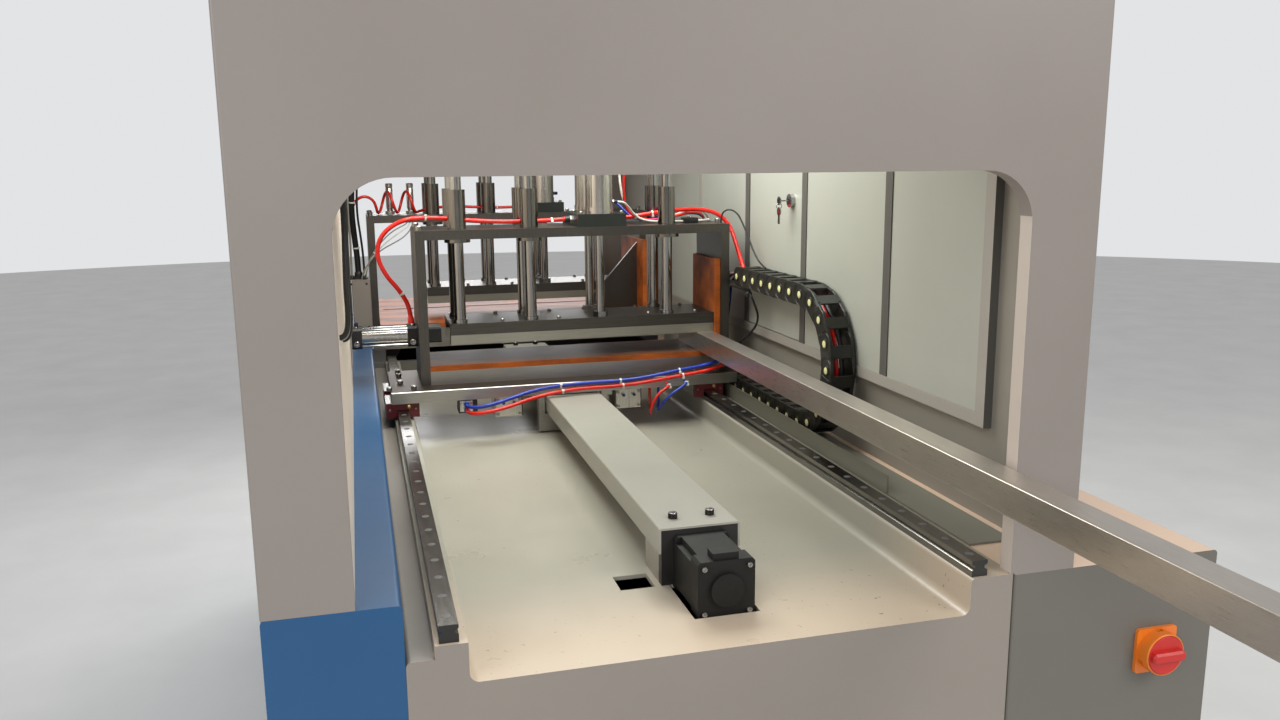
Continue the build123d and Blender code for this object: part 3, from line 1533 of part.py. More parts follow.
wire_route = [
    (wire_x, wire_y, gantry_top),
    (wire_x, wire_y, gantry_top + 12),
    (gantry_right - 6, wire_y - 2, gantry_top + 26),
    (gantry_right + 7, wire_y - 9, gantry_top + 32),
    (gantry_right + 21, wire_y - 21, gantry_top + 24),
    (gantry_right + 29, wire_y - 34, gantry_top + 3),
    (gantry_right + 35, wire_y - 52, gantry_top - 25),
    (gantry_right + 39, wire_y - 72, gantry_top - 53),
    (gantry_right + 42, wire_y - 94, gantry_top - 75),
    (gantry_right + 44, wire_y - 118, gantry_top - 88),
    (gantry_right + 44, wire_y - 144, chain_high + chain_height / 2 + 2.6),
]
save("chain_wire", tube(wire_route, chain_wire_diameter))
box_top = table_top - junction_drop + junction_height
harness_x = saw_table_left - 30
harness_y = saw_gantry_front + 22
harness_route = [
    (harness_x, harness_y, box_top),
    (harness_x, harness_y, box_top + 54),
    (harness_x - 6, harness_y - 9, gantry_top - 49),
    (harness_x - 9, harness_y - 26, gantry_top + 15),
    (harness_x - 5, harness_y - 36, gantry_top + 83),
    (harness_x + 2, harness_y - 32, gantry_top + 153),
    (harness_x + 3, harness_y - 20, gantry_top + 227),
    (harness_x - 2, harness_y - 13, wall_top - 233),
    (harness_x - 6, harness_y - 14, wall_top - 153),
    (harness_x - 5, harness_y - 19, wall_top - 71),
    (harness_x - 5, harness_y - 19, wall_top),
]
save("harness", tube(harness_route, harness_diameter))
coil_y = saw_gantry_front + 76
coil_x = saw_table_left + 35
coil_z = gantry_top + fit_gap + saw_hose_diameter / 2 + coil_radius
saw_hose_route = [
    (harness_x, coil_y - 20, box_top),
    (harness_x, coil_y - 20, box_top + 44),
    (harness_x - 4, coil_y - 24, box_top + 92),
    (harness_x - 8, coil_y - 29, gantry_top - 34),
    (harness_x - 9, coil_y - 32, gantry_top - 3),
    (harness_x - 6, coil_y - 35, gantry_top + 25),
    (coil_x - 57, coil_y - 37, gantry_top + 47),
    (coil_x - 34, coil_y - 37, gantry_top + 54),
    (coil_x - 13, coil_y - 33, gantry_top + 42),
    (coil_x - 6, coil_y - 28, gantry_top + 20),
]
for step in range(-1, coil_turns * coil_points + 1):
    turn = 2 * pi * step / coil_points
    saw_hose_route.append((
        coil_x + coil_pitch * step / coil_points,
        coil_y + coil_radius * sin(turn),
        coil_z - coil_radius * cos(turn),
    ))
coil_end = coil_x + coil_pitch * coil_turns
saw_hose_route += [
    (coil_end + 8, coil_y + 15, gantry_top + 6.5),
    (coil_end + 24, coil_y + 26, gantry_top + 10),
    (coil_end + 48, coil_y + 30, gantry_top + 14),
    (coil_end + 83, coil_y + 26, gantry_top + 18),
    (middle_rod_x - 71, coil_y + 18, gantry_top + 18),
    (middle_rod_x - 19, coil_y + 13, gantry_top + 15),
    (middle_rod_x + 31, coil_y + 11, gantry_top + 13),
    (mount_left - hose_lead, coil_y + 10, gantry_top + 14),
    (mount_left, coil_y + 10, gantry_top + 14),
]
save("saw_hose", tube(saw_hose_route, saw_hose_diameter))
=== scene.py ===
"""Looks of the aluminium cutting saw: finishes, cords, energy chain and small fittings."""

import math

import bmesh
import bpy
from mathutils import Matrix, Vector


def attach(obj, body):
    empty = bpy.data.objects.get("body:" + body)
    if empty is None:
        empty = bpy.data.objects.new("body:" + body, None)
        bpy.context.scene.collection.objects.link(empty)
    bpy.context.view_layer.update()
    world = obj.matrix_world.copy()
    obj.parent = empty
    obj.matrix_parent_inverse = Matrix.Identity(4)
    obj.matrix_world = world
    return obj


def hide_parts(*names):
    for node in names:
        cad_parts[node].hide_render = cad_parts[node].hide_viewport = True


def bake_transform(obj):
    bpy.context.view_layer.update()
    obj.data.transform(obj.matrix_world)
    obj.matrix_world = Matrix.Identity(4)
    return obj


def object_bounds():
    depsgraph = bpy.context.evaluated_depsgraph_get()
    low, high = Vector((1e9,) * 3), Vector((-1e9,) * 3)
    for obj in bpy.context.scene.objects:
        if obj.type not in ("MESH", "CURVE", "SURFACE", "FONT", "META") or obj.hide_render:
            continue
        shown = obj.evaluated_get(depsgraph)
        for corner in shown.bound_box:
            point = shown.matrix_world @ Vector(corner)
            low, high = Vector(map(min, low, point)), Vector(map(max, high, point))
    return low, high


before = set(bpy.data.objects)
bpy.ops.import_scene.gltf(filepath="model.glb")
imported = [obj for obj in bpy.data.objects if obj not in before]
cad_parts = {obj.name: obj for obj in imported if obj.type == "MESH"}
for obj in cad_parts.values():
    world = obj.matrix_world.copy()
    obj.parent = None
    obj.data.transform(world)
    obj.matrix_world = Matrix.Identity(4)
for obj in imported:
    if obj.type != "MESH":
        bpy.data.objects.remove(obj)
cad_low, cad_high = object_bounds()

# Places count from the middle of the bed, the front of the portal and the floor, in metres where
# nothing else is said
left_edge = -0.544
bar_end = -0.560
shift = Vector((cad_low.x - left_edge, cad_low.y - bar_end, 0.0))


def at(x, y, z):
    """Point of the machine's frame from a place on the drawing."""
    return Vector((x, y, z)) + shift


# Driving places of the pieces that this script adds
feed_middle = 1.232
saw_gantry_front = 1.859
feed_gantry_front = 1.142
carriage_top = 0.874
gantry_top = 1.209
gantry_left = -0.299
gantry_right = 0.409
saw_table_left = -0.388
beam_top = 1.004
press_middle = 0.110
press_row = 0.056
press_cap = 1.437
port_low = 1.262
port_high = 1.422
mount_left = 0.055
mount_right = 0.165
mount_port = 1.223
side_axis = 0.973
side_top = 0.996
rail_half = 0.3435
rail_top = 0.834
motor_rear = 0.095
right_edge = 0.719
rear_edge = 2.400
wire_entry = 1.036
chain_left = 0.414
chain_width = 0.050
chain_height = 0.043
chain_pitch = 0.050
chain_bend_links = 8
chain_upper_links = 7
chain_lower_links = 11
chain_bend_start = 0.755
chain_low = 0.8348
chain_radius = chain_pitch / (2 * math.sin(math.pi / (2 * chain_bend_links)))
chain_high = chain_low + 2 * chain_radius
chain_lower_end = chain_bend_start + chain_lower_links * chain_pitch


# Materials

def srgb(red, green, blue):
    """Linear colour from display values of 0 to 255."""
    parts = []
    for value in (red, green, blue):
        share = value / 255
        parts.append(share / 12.92 if share <= 0.04045 else ((share + 0.055) / 1.055) ** 2.4)
    return (*parts, 1.0)


class Finish:
    """A procedural material: a principled shader fed by noises in object coordinates."""

    def __init__(self, name, roughness, metallic=0.0, shine=0.5):
        self.material = bpy.data.materials.new(name)
        self.material.use_nodes = True
        self.nodes = self.material.node_tree.nodes
        self.join = self.material.node_tree.links.new
        self.shader = self.nodes["Principled BSDF"]
        self.shader.inputs["Roughness"].default_value = roughness
        self.shader.inputs["Metallic"].default_value = metallic
        self.shader.inputs["Specular IOR Level"].default_value = shine
        self.places = self.node("TexCoord").outputs["Object"]

    def node(self, kind, **values):
        """New node with values on its sockets."""
        made = self.nodes.new(f"ShaderNode{kind}")
        for socket, value in values.items():
            made.inputs[socket.replace("_", " ")].default_value = value
        return made

    def noise(self, scale, stretch=(1, 1, 1), detail=4, rough=0.55):
        """Clouds, or streaks across the axes with the larger stretch."""
        mapping = self.node("Mapping", Scale=stretch)
        clouds = self.node("TexNoise", Scale=scale, Detail=detail, Roughness=rough)
        self.join(self.places, mapping.inputs["Vector"])
        self.join(mapping.outputs["Vector"], clouds.inputs["Vector"])
        return clouds.outputs["Fac"]

    def ramp(self, source, low, high, first, second):
        """Goes from the first colour to the second between two values of the source."""
        band = self.node("ValToRGB")
        for stop, place, colour in zip(band.color_ramp.elements, (low, high), (first, second)):
            stop.position = place
            stop.color = colour
        self.join(source, band.inputs["Fac"])
        return band.outputs["Color"]

    def shade(self, source, colour, second):
        """Drifts between two colours that are given as display values."""
        return self.ramp(source, 0.3, 0.7, srgb(*second), srgb(*colour))

    def mix(self, factor, first, second, mode="MIX"):
        """Mixes two colours; the numbers are the node's sockets for colours."""
        blend = self.node("Mix")
        blend.data_type = "RGBA"
        blend.blend_type = mode
        for socket, value in ((0, factor), (6, first), (7, second)):
            if hasattr(value, "links"):
                self.join(value, blend.inputs[socket])
            else:
                blend.inputs[socket].default_value = value
        return blend.outputs[2]

    def along(self, axis, low, high):
        """Rises from 0 to 1 between two places along an axis of the drawing."""
        offset = shift["XYZ".index(axis)]
        parts = self.node("SeparateXYZ")
        rise = self.node("MapRange", From_Min=low + offset, From_Max=high + offset)
        rise.interpolation_type = "SMOOTHSTEP"
        self.join(self.places, parts.inputs["Vector"])
        self.join(parts.outputs[axis], rise.inputs["Value"])
        return rise.outputs["Result"]

    def colour(self, source):
        self.join(source, self.shader.inputs["Base Color"])

    def roughness(self, source, low, high):
        spread = self.node("MapRange", To_Min=low, To_Max=high)
        self.join(source, spread.inputs["Value"])
        self.join(spread.outputs["Result"], self.shader.inputs["Roughness"])

    def bump(self, source, strength, distance):
        relief = self.node("Bump", Strength=strength, Distance=distance)
        self.join(source, relief.inputs["Height"])
        self.join(relief.outputs["Normal"], self.shader.inputs["Normal"])


def grey(level):
    """Neutral colour for masks."""
    return (level, level, level, 1.0)


def sprayed(made, tone, low, high, peel=0.12):
    """Sprayed coat: a tone, faint smudges between two roughnesses, and orange peel."""
    made.colour(tone)
    made.roughness(made.noise(9, detail=6), low, high)
    made.bump(made.noise(420, detail=2), peel, 0.0004)
    return made.material


def paint(name, colour, second, roughness=0.42):
    """Sprayed paint with slow drifts of tone."""
    made = Finish(name, roughness)
    tone = made.shade(made.noise(1.6, detail=5), colour, second)
    return sprayed(made, tone, roughness - 0.08, roughness + 0.12)


def metal(name, colour, second, roughness, stretch, scale, streak):
    """Bare metal with fine machining streaks along one direction."""
    made = Finish(name, roughness, metallic=1.0)
    lines = made.noise(scale, stretch, detail=6, rough=0.7)
    smudge = made.ramp(made.noise(5, detail=3), 0.3, 0.7, grey(0.82), grey(1.0))
    made.colour(made.mix(0.8, made.shade(lines, colour, second), smudge, "MULTIPLY"))
    made.roughness(lines, roughness - 0.08, roughness + 0.14)
    made.bump(lines, streak, 0.0003)
    return made.material


def plastic(name, colour, second, roughness, grain=260, shine=0.5):
    """Moulded plastic or rubber with fine grain."""
    made = Finish(name, roughness, shine=shine)
    made.colour(made.shade(made.noise(14, detail=5), colour, second))
    made.roughness(made.noise(40, detail=4), roughness - 0.06, roughness + 0.1)
    made.bump(made.noise(grain, detail=2), 0.18, 0.0003)
    return made.material


def laminate(name, colour, second, dark):
    """Orange-brown laminate with fine fibres along X and darker worn clouds."""
    made = Finish(name, 0.44, shine=0.22)
    fibres = made.noise(30, (1, 14, 14), detail=6, rough=0.65)
    clouds = made.ramp(made.noise(7, (1, 2, 2), detail=5), 0.35, 0.62, grey(1), grey(0))
    made.colour(made.mix(clouds, made.shade(fibres, colour, second), srgb(*dark)))
    made.roughness(fibres, 0.36, 0.6)
    made.bump(fibres, 0.2, 0.0003)
    return made.material


def tray_finish():
    """Greenish cream paint with specks and patches of dirt, and painted light and shade: brighter and
    warmer near the front edge, darker towards the right.
    """
    made = Finish("tray_paint", 0.3)
    drift = made.noise(2.2, detail=5)
    cool = made.shade(drift, (170, 166, 153), (160, 156, 143))
    # painted light: a brighter, warmer tone that takes over near the front edge
    painted_light_front = made.shade(drift, (208, 190, 168), (198, 180, 158))
    tone = made.mix(made.along("Y", 0.30, 0.0), cool, painted_light_front)
    # painted shade: the tone darkens towards the right
    tone = made.mix(made.along("X", 0.02, 0.36), tone, made.mix(1.0, tone, grey(0.72), "MULTIPLY"))
    dots = made.ramp(made.noise(150, detail=2, rough=0.5), 0.70, 0.75, grey(0), grey(1))
    patches = made.ramp(made.noise(4, detail=4), 0.45, 0.7, grey(0), grey(1))
    tone = made.mix(made.mix(1.0, dots, patches, "MULTIPLY"), tone, srgb(92, 82, 66))
    return sprayed(made, tone, 0.2, 0.42, 0.1)


def wall_finish():
    """Greenish grey of the panels behind the door frame, with painted shade: a darker brownish tone near
    the front and below the frame.
    """
    made = Finish("wall_paint", 0.42)
    drift = made.noise(1.6, detail=5)
    # painted shade: the darker brownish tone that the wall takes near the front and below the door frame
    front = made.shade(drift, (145, 139, 129), (136, 130, 120))
    back = made.shade(drift, (176, 177, 168), (166, 167, 158))
    part = made.mix(1.0, made.along("Y", 1.192, 1.196), made.along("Z", 0.955, 0.965), "MULTIPLY")
    return sprayed(made, made.mix(part, front, back), 0.34, 0.54)


grey_paint = paint("portal_paint", (136, 128, 122), (129, 121, 115))
bed_paint = paint("bed_paint", (139, 131, 123), (131, 123, 115))
tray_paint = tray_finish()
blue_paint = paint("blue_paint", (26, 78, 122), (20, 70, 112), 0.38)
cabinet_paint = paint("cabinet_paint", (104, 101, 94), (97, 94, 87))
top_paint = paint("top_paint", (230, 202, 178), (221, 193, 169), 0.4)
# painted light: the portal paint made lighter for the inner face at the right side of the opening
reveal_painted_light = paint("reveal_painted_light", (196, 184, 174), (186, 174, 164), 0.4)
side_paint = paint("side_paint", (222, 208, 194), (213, 199, 185), 0.4)
panel_paint = paint("panel_paint", (172, 173, 163), (163, 164, 154), 0.36)
frame_paint = paint("frame_paint", (164, 158, 150), (155, 149, 141), 0.36)
# painted shade: the frame paint made darker for the posts' faces that turn away from the light
post_painted_shade = paint("post_painted_shade", (92, 90, 85), (84, 82, 78))
wall_paint = wall_finish()
seat_paint = paint("seat_paint", (132, 130, 118), (120, 118, 106), 0.34)
along_x = (0.6, 26, 26)
along_y = (26, 0.6, 26)
along_z = (26, 26, 0.6)
bar_metal = metal("bar_metal", (224, 218, 211), (208, 201, 194), 0.27, along_y, 40, 0.12)
bar_top_metal = metal("bar_top_metal", (222, 214, 204), (204, 196, 187), 0.36, along_y, 40, 0.12)
plate_metal = metal("plate_metal", (196, 193, 188), (172, 168, 162), 0.32, along_x, 40, 0.12)
side_metal = metal("side_metal", (118, 114, 109), (98, 95, 90), 0.34, along_z, 40, 0.12)
plate_top_metal = metal("plate_top_metal", (104, 92, 82), (84, 74, 66), 0.42, along_x, 40, 0.12)
cover_paint = paint("cover_paint", (160, 158, 148), (151, 149, 139), 0.34)
rail_metal = metal("rail_metal", (150, 147, 143), (124, 121, 117), 0.2, along_y, 40, 0.06)
screw_steel = metal("screw_steel", (178, 175, 170), (150, 147, 142), 0.24, along_z, 60, 0.05)
rod_metal = metal("rod_metal", (186, 185, 184), (164, 163, 162), 0.08, along_z, 40, 0.03)
cylinder_metal = metal("cylinder_metal", (214, 211, 206), (196, 193, 188), 0.22, along_z, 40, 0.08)
bushing_metal = metal("bushing_metal", (150, 147, 142), (118, 115, 110), 0.16, along_z, 50, 0.06)
beam_metal = metal("beam_metal", (112, 108, 103), (92, 88, 84), 0.34, along_x, 40, 0.12)
strip_metal = metal("strip_metal", (196, 194, 182), (176, 173, 160), 0.34, along_x, 40, 0.1)
fitting_brass = metal("fitting_brass", (196, 168, 110), (164, 136, 84), 0.3, along_x, 60, 0.1)
dark_metal = metal("dark_metal", (70, 68, 65), (52, 50, 48), 0.32, along_x, 60, 0.1)
orange_laminate = laminate("orange_laminate", (198, 106, 42), (164, 80, 28), (110, 56, 26))
brown_laminate = laminate("brown_laminate", (112, 68, 42), (84, 50, 32), (56, 36, 26))
black_plastic = plastic("black_plastic", (40, 39, 38), (26, 25, 25), 0.42)
motor_black = plastic("motor_black", (32, 31, 29), (24, 23, 22), 0.5, 300, 0.25)
chain_black = plastic("chain_black", (38, 38, 32), (28, 28, 24), 0.34)
mount_black = plastic("mount_black", (40, 44, 40), (28, 31, 28), 0.32)
rubber = plastic("rubber", (30, 29, 29), (20, 20, 20), 0.6)
dot_yellow = plastic("dot_yellow", (222, 218, 160), (206, 202, 146), 0.4)
plug_grey = plastic("plug_grey", (92, 90, 88), (76, 74, 72), 0.5)
white_tube = plastic("white_tube", (222, 218, 208), (204, 200, 190), 0.3, 120)
wire_grey = plastic("wire_grey", (146, 142, 134), (124, 120, 112), 0.4, 120)
tie_white = plastic("tie_white", (232, 230, 222), (214, 211, 202), 0.4)
red_tube = plastic("red_tube", (228, 44, 34), (212, 36, 28), 0.2, 90)
blue_tube = plastic("blue_tube", (38, 66, 176), (30, 54, 156), 0.2, 90)
wire_black = plastic("wire_black", (28, 27, 27), (18, 18, 18), 0.5, 120)
orange_plastic = plastic("orange_plastic", (226, 122, 34), (212, 108, 26), 0.35)
red_plastic = plastic("red_plastic", (196, 34, 28), (178, 26, 22), 0.3)
maroon_plastic = plastic("maroon_plastic", (112, 28, 38), (92, 22, 32), 0.4)


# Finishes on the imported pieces

def dress(node, main, *zones):
    """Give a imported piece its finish, and another one to the faces that lie in each zone's box."""
    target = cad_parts[node]
    target.data.materials.clear()
    target.data.materials.append(main)
    for slot, (made, low, high) in enumerate(zones, 1):
        target.data.materials.append(made)
        low_corner = at(*low)
        high_corner = at(*high)
        for face in target.data.polygons:
            if all(low_corner[axis] <= face.center[axis] <= high_corner[axis] for axis in range(3)):
                face.material_index = slot


far = 9.0
dress("bed_frame", bed_paint, (tray_paint, (-0.3605, 0.0005, 0.755), (0.394, 1.789, 0.8125)))
dress("cabinet", cabinet_paint, (top_paint, (0.38, 0.0005, 0.8095), (0.715, 1.789, 0.811)))
dress("saw_housing", cabinet_paint, (rail_metal, (-0.40, 1.80, 0.067), (0.40, 2.39, 0.089)))
# painted light on the inner face at the right side of the opening
dress("infeed_portal", grey_paint, (reveal_painted_light, (0.386, 0.002, 0.75), (0.388, 0.022, 1.4)))
# the posts of the door frame get painted shade
dress("door_frame", frame_paint,
      (post_painted_shade, (-far, 0.1, 0), (far, 0.2005, far)),
      *[(post_painted_shade, (-far, y - 0.025, 1.02), (far, y + 0.025, 1.496)) for y in (0.50, 0.851, 1.172)])
dress("feed_rails", rail_metal, (black_plastic, (-far, 0, 0), (far, 0.0055, far)))
dress("screw_cover", cover_paint, (dark_metal, (-far, -far, 0.8463), (far, far, far)))
dress("screw_housings", plate_metal, (black_plastic, (-far, 0.2, 0), (far, 0.2205, far)))
dress("saw_gantry", side_metal, (bed_paint, (-0.45, 1.8, 0.89), (-0.3885, 1.96, 1.05)))
dress("carriage_plate", plate_metal,
      (plate_top_metal, (-far, 0, 0.8735), (far, far, 0.8745)),
      (plate_top_metal, (-far, 0, 0.9035), (far, far, 0.9045)))
dress("feed_phenolic", orange_laminate, (brown_laminate, (-far, 0, 0.9155), (far, far, 0.9165)))
for prefix in ("feed", "saw"):
    dress(f"{prefix}_press_cylinders", bushing_metal,
          (mount_black, (0.05, 0, 1.2085), (0.17, far, 1.2375)),
          (cylinder_metal, (0.05, 0, 1.2375), (0.17, far, far)))
    dress(f"{prefix}_press_beam", beam_metal, (strip_metal, (-far, 0, 0.957), (far, far, 0.9785)))
    dress(f"{prefix}_press_rods", rod_metal)
dress("side_cylinder", cylinder_metal,
      (black_plastic, (-0.442, 0, 0), (-0.4185, far, far)),
      (black_plastic, (-0.3215, 0, 0), (-0.298, far, far)))
dress("bar_stock", bar_metal, (bar_top_metal, (-far, -far, 0.9575), (far, far, 0.9585)))
dress("carriage_cylinders", cylinder_metal, (black_plastic, (-0.24, 0, 0), (-0.18, far, far)))
for made, nodes in (
    (blue_paint, "left_base"),
    (dark_metal, "levelling_feet saw_trolley"),
    (grey_paint, "outfeed_portal roof"),
    (side_paint, "left_wall"),
    (wall_paint, "right_wall"),
    (panel_paint, "side_panels side_door"),
    (motor_black, "servo_motor saw_motor"),
    (rail_metal, "feed_screw guide_blocks"),
    (seat_paint, "chain_tray"),
    (plate_metal, "saw_table nut_bracket lift_plate"),
    (orange_laminate, "saw_phenolic"),
    (side_metal, "feed_gantry"),
    (maroon_plastic, "block_end_caps"),
    (black_plastic, "side_pusher"),
    (rod_metal, "door_lock door_key saw_blade"),
    (cabinet_paint, "cabinet_door"),
    (orange_plastic, "switch_base"),
    (red_plastic, "switch_knob"),
    (rubber, "drive_belt"),
    (screw_steel, "spindle motor_pulley"),
):
    for node in nodes.split():
        dress(node, made)


# Building pieces

def new_object(name, data):
    """Object in the scene's collection."""
    made = bpy.data.objects.new(name, data)
    bpy.context.collection.objects.link(made)
    return made


class Batch:
    """One mesh object made of many small solids that ride on one body."""

    def __init__(self, name, body, slot):
        self.name = name
        self.body = body
        self.slot = slot
        self.tool = bmesh.new()
        self.finishes = []

    def add(self, solid, made):
        """Take in a solid with its finish."""
        if made not in self.finishes:
            self.finishes.append(made)
        for face in solid.faces:
            face.material_index = self.finishes.index(made)
            face.smooth = True
        mesh = bpy.data.meshes.new("solid")
        solid.to_mesh(mesh)
        solid.free()
        self.tool.from_mesh(mesh)
        bpy.data.meshes.remove(mesh)

    def done(self):
        """Make the object, with sharp edges kept sharp."""
        bmesh.ops.recalc_face_normals(self.tool, faces=self.tool.faces)
        mesh = bpy.data.meshes.new(self.name)
        self.tool.to_mesh(mesh)
        self.tool.free()
        for made in self.finishes:
            mesh.materials.append(made)
        mesh.set_sharp_from_angle(angle=math.radians(34))
        piece = new_object(self.name, mesh)
        if self.body:
            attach(piece, self.body)
        return piece


def skin(solid, rings, closed=False):
    """Sides between rings of points, and caps at both ends unless the rings close up."""
    pairs = list(zip(rings, rings[1:]))
    if closed:
        pairs.append((rings[-1], rings[0]))
    else:
        solid.faces.new(rings[0])
        solid.faces.new(rings[-1])
    for low, high in pairs:
        for step, corner in enumerate(low):
            after = (step + 1) % len(low)
            solid.faces.new((corner, low[after], high[after], high[step]))
    return solid


def turned(place, direction, profile, segments=24, ring=False):
    """Turned solid: each step of the profile is a distance, a radius and perhaps a number of flats."""
    solid = bmesh.new()
    spin = direction.to_track_quat("Z", "Y")
    rings = []
    for along, radius, *flats in profile:
        circle = []
        for step in range(segments):
            angle = 2 * math.pi * step / segments
            reach = radius
            if flats:
                half = math.pi / flats[0]
                reach = radius / math.cos(angle % (2 * half) - half)
            spot = Vector((reach * math.cos(angle), reach * math.sin(angle), along))
            circle.append(solid.verts.new(place + spin @ spot))
        rings.append(circle)
    return skin(solid, rings, ring)


def block(low, high, edge=0.0008):
    """Block between two corners, with rounded edges."""
    solid = bmesh.new()
    bmesh.ops.create_cube(solid, size=1.0)
    for vert in solid.verts:
        vert.co = Vector([(a + b) / 2 + share * (b - a) for a, b, share in zip(low, high, vert.co)])
    bmesh.ops.bevel(solid, geom=list(solid.edges), offset=edge, segments=2, profile=0.5, affect="EDGES")
    return solid


def prism(outline, push, edge=0.0):
    """Straight solid from a closed outline, with its end faces' corners rounded."""
    solid = bmesh.new()
    near = [solid.verts.new(place) for place in outline]
    away = [solid.verts.new(place + push) for place in outline]
    ends = [solid.faces.new(near), solid.faces.new(away)]
    for step, vert in enumerate(near):
        after = (step + 1) % len(near)
        solid.faces.new((vert, near[after], away[after], away[step]))
    if edge:
        bmesh.ops.recalc_face_normals(solid, faces=solid.faces)
        rims = [line for end in ends for line in end.edges]
        bmesh.ops.bevel(solid, geom=rims, offset=edge, segments=1, profile=0.5, affect="EDGES")
    return solid


def swept(points, radius, segments=12):
    """Round rod that follows a line of places."""
    solid = bmesh.new()
    side = (points[1] - points[0]).orthogonal().normalized()
    rings = []
    for step, place in enumerate(points):
        before = points[max(step - 1, 0)]
        after = points[min(step + 1, len(points) - 1)]
        heading = (after - before).normalized()
        side = (side - heading * side.dot(heading)).normalized()
        other = heading.cross(side)
        rings.append([
            solid.verts.new(place + radius * (side * math.cos(angle) + other * math.sin(angle)))
            for angle in (2 * math.pi * turn / segments for turn in range(segments))
        ])
    return skin(solid, rings)


X = Vector((1, 0, 0))
Y = Vector((0, 1, 0))
Z = Vector((0, 0, 1))


def socket_screw(batch, place, direction, thread, made=screw_steel):
    """Cap screw with a six-sided socket, standing on its seat."""
    radius = 0.75 * thread
    socket = 0.42 * thread
    batch.add(turned(place - direction * 0.0004, direction, [
        (0, radius), (0.88 * thread, radius), (thread, 0.88 * radius), (thread, 1.15 * socket, 6),
        (0.92 * thread, socket, 6), (0.45 * thread, socket, 6), (0.40 * thread, 0.2 * socket),
    ]), made)


def push_fitting(batch, place, direction, tube, collar, body=black_plastic):
    """Push-in tube fitting: a nut, a barrel and the ring that frees the tube."""
    batch.add(turned(place - direction * 0.0005, direction, [
        (0, 0.78 * tube, 6), (0.45 * tube, 0.78 * tube, 6), (0.52 * tube, 0.72 * tube),
    ]), screw_steel)
    batch.add(turned(place + direction * 0.45 * tube, direction, [
        (0, 0.74 * tube), (1.0 * tube, 0.74 * tube), (1.1 * tube, 0.68 * tube),
    ]), body)
    batch.add(turned(place + direction * 1.5 * tube, direction, [
        (0, 0.54 * tube), (0.16 * tube, 0.54 * tube), (0.18 * tube, 0.7 * tube), (0.3 * tube, 0.7 * tube),
        (0.34 * tube, 0.66 * tube), (0.34 * tube, 0.51 * tube), (0, 0.51 * tube),
    ], ring=True), collar)


# Cords


def path_of(piece):
    """Places along a cord's smooth line, read from its spline."""
    line = piece.data.copy()
    line.bevel_depth = 0
    carrier = bpy.data.objects.new("line", line)
    mesh = bpy.data.meshes.new_from_object(carrier)
    places = [vertex.co.copy() for vertex in mesh.vertices]
    bpy.data.meshes.remove(mesh)
    bpy.data.objects.remove(carrier)
    bpy.data.curves.remove(line)
    return places


def spot_on(places, share):
    """Place and heading at a share of a line's length."""
    steps = [(b - a).length for a, b in zip(places, places[1:])]
    left = share * sum(steps)
    for start, end, step in zip(places, places[1:], steps):
        if left <= step:
            break
        left -= step
    return start.lerp(end, min(left / step, 1)), (end - start).normalized()


def zip_tie(name, body, place, heading, radius):
    """Nylon band round a tube or a bundle, with its head and a cut tail."""
    wide = 0.0036
    thick = 0.0012
    batch = Batch(name, body, "white_plastic")
    batch.add(turned(place - heading * wide / 2, heading, [
        (0, radius + 0.0002), (0, radius + thick), (wide, radius + thick), (wide, radius + 0.0002),
    ], ring=True), tie_white)
    side = (X - heading * X.dot(heading)).normalized()
    out = heading.cross(side)
    middle = place + (side * 0.7 - out * 0.7).normalized() * (radius + 0.0022)
    corner = [(-1, -1), (1, -1), (1, 1), (-1, 1)]
    for half_wide, half_deep, start, long, edge in (
        (0.0026, 0.0026, -0.0022, 0.0044, 0.0005),
        (0.0015, 0.0006, 0.0022, 0.0065, 0.0),
    ):
        base = middle + out * start
        outline = [base + heading * half_wide * a + side * half_deep * b for a, b in corner]
        batch.add(prism(outline, out * long, edge), tie_white)
    return batch.done()


def cord(name, node, body, route, diameter, length, made, ties=(), bundle=None):
    """Free tube along one smooth curve that goes back into the machine at its far end.

    Route, diameters and length are in millimetres; the length is worked out but not used.
    tube itself or round a bundle with a larger diameter.
    """
    radius = (bundle or diameter) / 2000 + 0.0002
    route = [[value / 1000 for value in place] for place in route]
    diameter = diameter / 1000
    curve = bpy.data.curves.new(name, "CURVE")
    curve.dimensions = "3D"
    spline = curve.splines.new("NURBS")
    spline.points.add(len(route) - 1)
    for point, place in zip(spline.points, route):
        point.co = (*at(*place), 1.0)
    spline.order_u = 3
    spline.use_endpoint_u = True
    curve.resolution_u = 12
    curve.bevel_depth = diameter / 2
    curve.bevel_resolution = 5
    curve.use_fill_caps = True
    curve.materials.append(made)
    piece = new_object(name, curve)
    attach(piece, body)
    if node:
        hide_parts(node)
    places = path_of(piece)
    bands = [
        zip_tie(f"{name}_tie_{number}", body, *spot_on(places, share), radius)
        for number, share in enumerate(ties, 1)
    ]
    if length is None:
        length = sum((b - a).length for a, b in zip(places, places[1:]))
    else:
        length = length / 1000
    at(*route[0])
    return piece


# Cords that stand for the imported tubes, in millimetres

